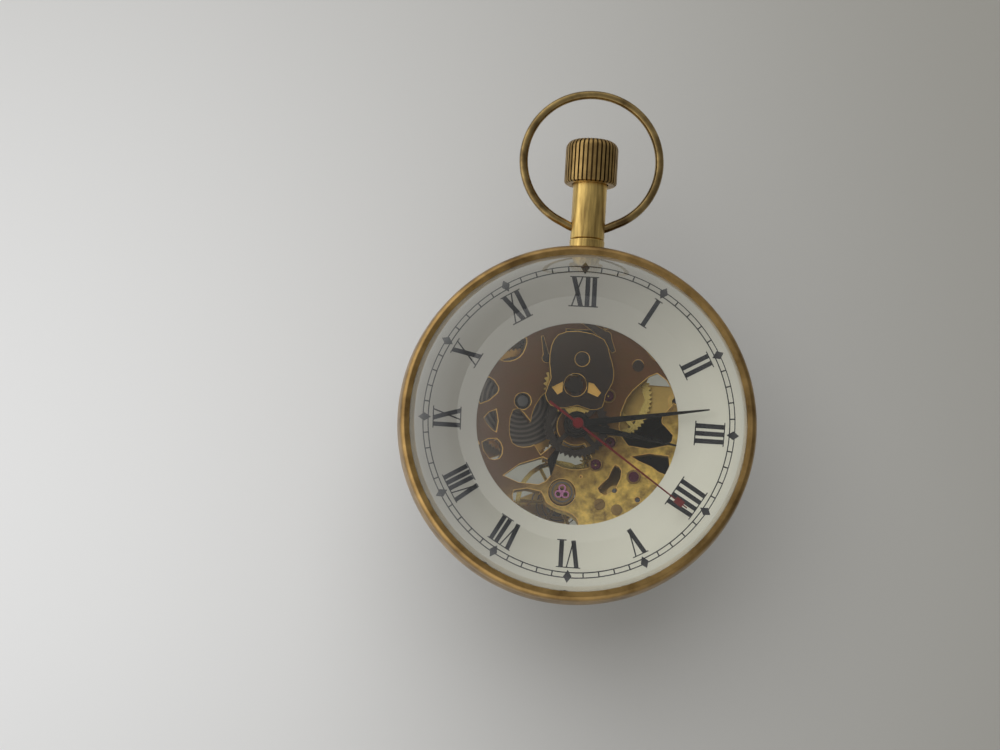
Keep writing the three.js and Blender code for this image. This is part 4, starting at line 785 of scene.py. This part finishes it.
def stroke(angle, u_in, r_in, u_out, r_out, wide):
    """One stroke from (u_in, r_in) to (u_out, r_out), beside and along the ray at a clock angle."""
    a = math.radians(90 - angle)
    out, side = Vector((math.cos(a), math.sin(a), 0)), Vector((math.sin(a), -math.cos(a), 0))
    foot = out * r_in + side * u_in
    head = out * r_out + side * u_out
    run = head - foot
    bpy.ops.mesh.select_all(action="DESELECT")
    bpy.ops.mesh.primitive_cube_add(
        size=1,
        location=(*((foot + head) / 2 * MM).xy,
                  (WAIST + DIAL_TOP + (INK_HIGH - INK_SINK) / 2) * MM),
        rotation=(0, 0, math.atan2(run.y, run.x)),
        scale=(run.length * MM, wide * MM, (INK_HIGH + INK_SINK) * MM))


# %% Print the figures
FIGURES = ["XII", "I", "II", "III", "IIII", "V", "VI", "VII", "VIII", "IX", "X", "XI"]
WIDTHS = [13, 5, 8, 11, 15, 6.5, 11.5, 12.5, 15, 10.5, 6.5, 10]
FIGURE_IN, FIGURE_OUT, THICK, THIN, SERIF, SPACING = 13.15, 16.75, 0.52, 0.15, 0.13, 0.35
ADVANCE = {"I": 0.84, "V": 1.7, "X": 1.7}
numerals = start_print("dial_numerals")
for hour, (figure, width) in enumerate(zip(FIGURES, WIDTHS)):
    angle = hour * 30
    natural = sum(ADVANCE[letter] for letter in figure)
    total = math.radians(width) * (FIGURE_IN + FIGURE_OUT) / 2 - SPACING
    squeeze = total / natural if len(figure) > 1 else 1.0
    u = -natural * squeeze / 2
    for letter in figure:
        step = ADVANCE[letter] * squeeze
        middle, half = u + step / 2, step / 2
        if letter == "I":
            legs = [(0, 0, THICK)]
        elif letter == "V":
            legs = [(0, -0.62, THICK), (0, 0.72, THIN)]
        else:
            legs = [(0.6, -0.6, THICK), (-0.7, 0.7, THIN)]
        for foot_at, head_at, wide in legs:
            stroke(angle, middle + half * foot_at, FIGURE_IN, middle + half * head_at, FIGURE_OUT,
                   wide)
        reach = (0.62 if letter == "I" else 0.58) * step
        for r in (FIGURE_OUT,) if letter == "V" else (FIGURE_OUT, FIGURE_IN):
            stroke(angle, middle - reach, r, middle + reach, r, SERIF)
        u += step
finish_print(numerals)

# %% Print the minute track
TRACK_IN, TRACK_OUT, LINE, LINE_SINK = 17.5, 18.3, 0.15, 0.005
DIAMOND_LONG, DIAMOND_WIDE, DIAMOND_PLACE, DIAMOND_HIGH = 2.0, 1.0, 18.1, 0.022
track = start_print("dial_track")
for minute in range(60):
    stroke(minute * 6, 0, TRACK_IN, 0, TRACK_OUT, LINE)
for hour in range(12):
    toward = math.radians(90 - hour * 30)
    bpy.ops.mesh.primitive_cylinder_add(
        vertices=4, radius=1, depth=1, rotation=(0, 0, toward),
        location=(DIAMOND_PLACE * math.cos(toward) * MM, DIAMOND_PLACE * math.sin(toward) * MM,
                  (WAIST + DIAL_TOP + (DIAMOND_HIGH - INK_SINK) / 2) * MM),
        scale=(DIAMOND_LONG / 2 * MM, DIAMOND_WIDE / 2 * MM, (DIAMOND_HIGH + INK_SINK) * MM))
finish_print(track)
for name, radius in (("track_inner_line", TRACK_IN), ("track_outer_line", TRACK_OUT)):
    inside, outside = radius - LINE / 2, radius + LINE / 2
    low, high = DIAL_TOP - LINE_SINK, DIAL_TOP + INK_HIGH
    line = turned(name, [(inside, low), (outside, low), (outside, high), (inside, high)])
    dress(line, "case", ink)

# %% [markdown]
# ## The movement's own solids
# The plates, wheels and screws have the right shapes already, but their edges are sharp, and a
# watch's edges catch the light. Each is copied, its loose triangles are merged and joined into
# flat faces, and a bevel breaks every sharp edge. On plates the bevel gets its own polished
# material, which is what makes a skeleton movement glitter.

# %% Break the edges of a CAD solid
SOLID_DOUBLES, FLAT_WITHIN, SHARP_FROM, SMOOTH_WITHIN = 2e-7, 1, 40, 50


def refined(node, width, finish, edge_finish=None, segments=2):
    deselect_all()
    piece = nodes[node].copy()
    piece.data = piece.data.copy()
    bpy.context.scene.collection.objects.link(piece)
    piece.parent = None
    piece.matrix_world = Matrix.Identity(4)
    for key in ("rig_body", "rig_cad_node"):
        del piece[key]
    piece.name = piece.data.name = node + "_fine"
    open_piece(piece)
    bpy.ops.mesh.remove_doubles(threshold=SOLID_DOUBLES)
    bpy.ops.mesh.dissolve_limited(angle_limit=math.radians(FLAT_WITHIN))
    close_piece()
    piece.data.materials.clear()
    piece.data.materials.append(finish)
    if edge_finish:
        piece.data.materials.append(edge_finish)
    bevel(piece, width, segments, SHARP_FROM, SMOOTH_WITHIN,
          material=1 if edge_finish else -1, use_clamp_overlap=edge_finish is None)
    modify(piece, "WEIGHTED_NORMAL", keep_sharp=True, weight=100)
    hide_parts(node)
    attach(piece, body_of_node[node])
    return piece


# %% Refine the movement
for node, width, finish in (
    ("main_plate", 0.09, plate_copper), ("barrel_bridge", 0.09, gilt),
    ("train_bridge", 0.09, gilt), ("balance_cock", 0.09, gilt), ("pallet_bridge", 0.04, gilt),
    ("minute_wheel_cover", 0.06, cover_steel),
):
    refined(node, width, finish, bevel_gold)
refined("barrel", 0.025, barrel_metal)
refined("minute_wheel", 0.025, minute_metal)
for node in ("centre_wheel", "third_wheel", "fourth_wheel", "escape_wheel", "balance_wheel"):
    refined(node, 0.025, wheel_brass)
for node in ("hour_wheel", "cannon_pinion", "setting_wheel", "winding_pinion",
             "sliding_pinion"):
    refined(node, 0.025, dark_steel)
for node in ("barrel_screw_a", "barrel_screw_b", "train_screw_a", "train_screw_b",
             "cock_screw", "pallet_screw"):
    refined(node, 0.03, dull_steel)
for node in ("ratchet_wheel", "crown_wheel", "click", "click_spring", "regulator",
             "pallet_fork", "shock_setting_rear", "winding_stem"):
    refined(node, 0.03, steel)
refined("shock_setting_front", 0.03, screw_gold)
refined("barrel_arbor", 0.03, dull_steel)
for node in ("setting_lever", "yoke"):
    refined(node, 0.04, cover_steel, bevel_gold)
for node in ("third_jewel_front", "escape_jewel_front", "plate_jewel_front",
             "third_jewel_rear", "escape_jewel_rear"):
    refined(node, 0.05, ruby, segments=3)

# %% [markdown]
# ## Small fittings on the plate
# The jewels sit in golden chatons, the balance's jewel shows a pink three-lobed spring in its
# setting, and two gold screws and a steel one are set in the plate. They only dress the plate,
# so they ride with the case and stand in for nothing.

# %% Chatons and a spare jewel
PLATE_TOP, JEWEL_RADIUS, CHATON_RADIUS, SPARE_PLACE = 0.6, 0.58, 0.8, (6.6, -5.1)


def above_plate(section):
    """Lifts a section whose heights are counted from the plate's top face."""
    return [(radius, PLATE_TOP + height) for radius, height in section]


def move_to(piece, place):
    open_piece(piece)
    bpy.ops.transform.translate(value=(place[0] * MM, place[1] * MM, 0))
    close_piece()
    return piece


chaton_section = above_plate([(JEWEL_RADIUS, -0.02), (CHATON_RADIUS, -0.02), (0.77, 0.07),
                              (0.68, 0.09), (JEWEL_RADIUS, 0.03)])
for name, place in (("third", (3.3, 3.5)), ("escape", (2.4, -4.0)), ("plate", (3.8, -1.5)),
                    ("spare", SPARE_PLACE)):
    chaton = turned(name + "_chaton", chaton_section, SMALL_STEPS)
    dress(move_to(chaton, place), "case", screw_gold)
spare_section = above_plate([(0, -0.01), (0.57, -0.01), (0.57, 0.02), (0, 0.06)])
spare = turned("spare_jewel", spare_section, SMALL_STEPS)
dress(move_to(spare, SPARE_PLACE), "case", ruby)
print("chaton faces:", len(chaton.data.polygons))

# %% Shock spring
BALANCE_PLACE, LOBE_PLACE, LOBE_RADIUS, LOBE_WIRE, RIM_STEPS = (-1.1, -7.35), 0.46, 0.34, 0.11, 40
rim = turned("shock_rim", above_plate([(1.0, 0.1), (1.16, 0.1), (1.16, 0.16), (1.0, 0.16)]),
             RIM_STEPS)
dress(move_to(rim, BALANCE_PLACE), "case", dull_steel)
for i in range(3):
    toward = math.radians(90 + i * 120)
    bpy.ops.mesh.primitive_torus_add(
        major_segments=24, minor_segments=8, major_radius=LOBE_RADIUS * MM,
        minor_radius=LOBE_WIRE * MM,
        location=((BALANCE_PLACE[0] + LOBE_PLACE * math.cos(toward)) * MM,
                  (BALANCE_PLACE[1] + LOBE_PLACE * math.sin(toward)) * MM,
                  (WAIST + PLATE_TOP + 0.02) * MM))
    lobe = named("shock_lobe_" + str(i))
    dress(put_down(lobe), "case", pink_ruby)
print("lobe faces:", len(lobe.data.polygons))

# %% Plate screws
HEAD_RADIUS, HEAD_HIGH, SLOT_LONG, SLOT_WIDE, SLOT_DEEP = 0.62, 0.16, 2.0, 0.26, 0.1
head_section = above_plate([(0, -0.02), (HEAD_RADIUS, -0.02), (HEAD_RADIUS, 0.1),
                            (HEAD_RADIUS - 0.12, HEAD_HIGH), (0, HEAD_HIGH)])
for i, (place, finish) in enumerate((((3.1, -8.4), screw_gold), ((5.0, -8.9), screw_gold),
                                     ((6.3, 6.9), cover_steel))):
    head = turned("plate_screw_" + str(i), head_section, SMALL_STEPS)
    deselect_all()
    bpy.ops.mesh.primitive_cube_add(
        size=1, location=(0, 0, (WAIST + PLATE_TOP + HEAD_HIGH) * MM), rotation=(0, 0, 0.7 + i),
        scale=(SLOT_LONG * MM, SLOT_WIDE * MM, 2 * SLOT_DEEP * MM))
    cut_away(head, bpy.context.object)
    dress(move_to(head, place), "case", finish)
print("screw head faces:", len(head.data.polygons))

# %% [markdown]
# ## The screw and the leaves in the cover
# The steel cover over the minute wheel has a round opening near its outer end, and a dark screw
# shows in it. It is turned at the opening's own centre, just under the cover's top face. Two
# golden leaves lie under the cover's slots. Each starts as a flat face with the leaf's corners,
# which is extruded to its thickness.

# %% Cover screw and leaves
COVER_OPENING, LEAF_DROP, LEAF_THICK = (0.2, 7.3), 0.3, 0.12
cover_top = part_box("minute_wheel_cover")[1].z / MM - WAIST
screw_section = [(0, -0.14), (0.74, -0.14), (0.74, -0.06), (0.62, -0.02), (0.2, -0.02),
                 (0.17, -0.09), (0, -0.09)]
cover_screw = turned("cover_screw", [(radius, cover_top + height) for radius, height in
                                     screw_section], RIM_STEPS)
dress(move_to(cover_screw, COVER_OPENING), "case", dark_steel)
for name, outline in (
    ("cover_gold_left", [(-2.95, 4.05), (-1.8, 4.68), (-1.8, 3.55), (-2.32, 3.22)]),
    ("cover_gold_right", [(1.0, 4.75), (1.63, 4.66), (2.46, 3.7), (2.12, 3.22), (1.0, 3.65)]),
):
    deselect_all()
    bpy.ops.mesh.primitive_circle_add(vertices=len(outline), radius=MM, fill_type="NGON")
    leaf = named(name)
    for vertex, (x, y) in zip(leaf.data.vertices, outline):
        vertex.co = (x * MM, y * MM, (WAIST + cover_top - LEAF_DROP) * MM)
    open_piece(leaf)
    bpy.ops.mesh.extrude_region_move(TRANSFORM_OT_translate={"value": (0, 0, LEAF_THICK * MM)})
    bpy.ops.mesh.select_all(action="SELECT")
    bpy.ops.mesh.normals_make_consistent(inside=False)
    close_piece()
    dress(bevel(put_down(leaf), 0.03), "case", bevel_gold)
print("cover's top over the waist, mm:", round(cover_top, 3))

# %% [markdown]
# ## Hands
# The hour and minute hands are thin black blades on round hubs, and the seconds hand is red with
# a square block near its tip. Their flat solids have the right outlines, so a small bevel is
# enough to round them like stamped and painted hands.

# %% Refine the hands
for node, width, finish in (("hour_hand", 0.05, black_paint), ("minute_hand", 0.05, black_paint),
                            ("seconds_hand", 0.04, red_paint)):
    hand = refined(node, width, finish)
    print(hand.name, "faces:", len(hand.data.polygons))

# %% [markdown]
# ## Springs
# The hairspring is a flat coil of four turns and the mainspring a ribbon coiled in its barrel. A
# curve whose points come from a formula is wound for each. The hairspring is a round wire like
# the bow, and the mainspring is a plain ribbon given its wall by Solidify.

# %% Wind the springs
TURNS, COIL_STEPS, COIL_SMOOTHNESS = 4, 32, 2


def coil(inner, outer, level, start, centre):
    """Points of a flat coil that grows evenly from one radius to another."""
    count = TURNS * COIL_STEPS
    points = []
    for i in range(count + 1):
        t = i / count
        angle = start + t * TURNS * math.tau
        radius = inner + (outer - inner) * t
        points.append((centre[0] + radius * math.cos(angle), centre[1] + radius * math.sin(angle),
                       WAIST + level))
    return points


hair_route = coil(0.42, 2.55, -3.03, math.pi, BALANCE_PLACE)
hairspring = wire("blued_hairspring", hair_route, 0.05, COIL_SMOOTHNESS, 1)
dress(hairspring, "case", blued, "hairspring")

RIBBON_HALF_HEIGHT, RIBBON_THICK = 0.39, 0.14
ribbon = route_curve("coiled_mainspring", coil(1.55, 4.4, -1.26, 0, BARREL), COIL_SMOOTHNESS)
ribbon.data.extrude = RIBBON_HALF_HEIGHT * MM
bpy.ops.object.convert(target="MESH")
mainspring = named("coiled_mainspring")
modify(mainspring, "SOLIDIFY", thickness=RIBBON_THICK * MM, offset=0)
dress(put_down(mainspring), "barrel", steel, "mainspring")
print("spring faces:", len(hairspring.data.polygons), len(mainspring.data.polygons))

# %% [markdown]
# ## Materials for the solids that stay
# What is left keeps its solid: the casing ring, the barrel's cover and the seal in the crown.

# %% Dress the rest
for node, finish in (("casing_ring", case_brass), ("barrel_cover", wheel_brass),
                     ("crown_gasket", rubber)):
    nodes[node].data.materials.clear()
    nodes[node].data.materials.append(finish)
    print("dressed:", node)

# %% [markdown]
# ## Floor
# The clock lies on a pale sheet whose colour carries a painted pool of light at the left and grows
# darker away from it. The sheet lies a hair's breadth under the clock, so that it doesn't coincide
# with the rear dome's flat.
# Rays that leave the glass meet a tone that glows a little, because the sheet that shows through
# the clock lies in its shade and would look too dark in the movement's openings.

# %% Lay the floor
# The lit and dim paper tones, faded from a spot at the left, are a painted pool of light on the
# sheet.
FLOOR_GAP, FLOOR_SIZE, PAINTED_LIGHT_SPOT, PAINTED_LIGHT_REACH = 0.05, 12, (-0.13, -0.03), 0.26
PAINTED_LIT_PAPER, PAINTED_DIM_PAPER = (0.765, 0.775, 0.795, 1), (0.265, 0.26, 0.24, 1)
PAPER_IN_GLASS, GLOW_IN_GLASS = (0.20, 0.20, 0.175, 1), 0.9
deselect_all()
bpy.ops.mesh.primitive_plane_add(size=FLOOR_SIZE, location=(0, 0, -FLOOR_GAP * MM))
floor = named("floor")
floor_paper = add_gloss(grained("floor_paper", 0.6, GLOSS_SPREAD, GLOSS_BUMP)[0])
tree = floor_paper.node_tree
painted_light_fade = ranged(tree, from_axis(tree, *PAINTED_LIGHT_SPOT), 0.0, PAINTED_LIGHT_REACH, kind="SMOOTHSTEP")
through_glass = add_node(tree, "LightPath", {}).outputs["Is Transmission Ray"]
paper = mixed(tree, through_glass, mixed(tree, painted_light_fade, PAINTED_LIT_PAPER, PAINTED_DIM_PAPER), PAPER_IN_GLASS)
feed(tree, tree.nodes["Principled BSDF"], {
    "Base Color": paper, "Emission Color": paper,
    "Emission Strength": maths(tree, "MULTIPLY", through_glass, GLOW_IN_GLASS)})
floor.data.materials.append(floor_paper)
print("floor:", floor.name)

# %% [markdown]
# ## Lamp and world
# One large soft lamp lights the clock from above. Neither gloss nor glass mirrors it, so that no
# white sheet hides what lies under the dome, and the metal takes its highlights from the world.
# The world is brighter at the left and near the horizon. Flat plates mirror its dark top and
# bevelled edges its bright side. Rays that leave the glass meet a capped strength, so that the
# domes don't turn white from the side.

# %% Lamp
WINDOW_PLACE, WINDOW_SIZE, WINDOW_POWER = (-0.22, 0.62, 0.80), 1.3, 9.3
deselect_all()
bpy.ops.object.light_add(type="AREA", location=WINDOW_PLACE)
window = named("window")
window.data.size = WINDOW_SIZE
window.data.energy = WINDOW_POWER
window.rotation_euler = Vector(WINDOW_PLACE).to_track_quat("Z", "Y").to_euler()
window.visible_glossy = False
window.visible_transmission = False
print("lamp:", window.name, WINDOW_POWER, "W")

# %% World
HORIZON, ZENITH, FAR_LEFT, FAR_RIGHT = 1.0, 0.42, 1.5, 0.20
CAP, CAP_IN_GLASS = 1.5, 0.7
world = bpy.data.worlds.new("room")
bpy.context.scene.world = world
world.use_nodes = True
tree = world.node_tree
sky = add_node(tree, "TexCoord", {}).outputs["Generated"]
toward = add_node(tree, "SeparateXYZ", {"Vector": sky}).outputs
overhead = ranged(tree, maths(tree, "ABSOLUTE", toward["Z"]), 0.35, 0.95, HORIZON, ZENITH)
leftward = ranged(tree, toward["X"], -0.9, 0.9, FAR_LEFT, FAR_RIGHT)
strength = maths(tree, "MULTIPLY", overhead, leftward)
through_glass = add_node(tree, "LightPath", {}).outputs["Is Transmission Ray"]
cap = maths(tree, "MULTIPLY_ADD", through_glass, CAP_IN_GLASS - CAP, CAP)
feed(tree, tree.nodes["Background"], {"Color": (0.95, 0.93, 0.88, 1),
                                      "Strength": maths(tree, "MINIMUM", strength, cap)})
print("world:", world.name)

# %% [markdown]
# ## Camera
# The camera looks almost straight down. Its matrix says how the clock stands before the lens:
# turned by three small angles, moved aside, and set at its distance. The inverse of that matrix
# is the camera's own place.

# %% Camera
PHOTO_WIDTH, SENSOR_WIDTH, FOCAL_PX, DISTANCE = 1000, 36, 2350.0, 393.1
TILT, ASIDE = (-6.5, 1.6, -3.5), (12.82, -8.37)
camera_turn = Matrix.Identity(4)
for degrees, axis in zip(TILT, "XYZ"):
    camera_turn = camera_turn @ Matrix.Rotation(math.radians(degrees), 4, axis)
seen_from = Matrix.Translation(Vector((*ASIDE, -DISTANCE)) * MM) @ camera_turn
deselect_all()
bpy.ops.object.camera_add()
camera = named("photo_camera")
camera.data.sensor_width = SENSOR_WIDTH
camera.data.lens = FOCAL_PX * SENSOR_WIDTH / PHOTO_WIDTH
camera.data.clip_start = 0.01
camera.matrix_world = Matrix.Translation((0, 0, WAIST * MM)) @ seen_from.inverted()
bpy.context.scene.camera = camera
bpy.context.scene.view_settings.view_transform = "Standard"
print("lens, mm:", camera.data.lens)
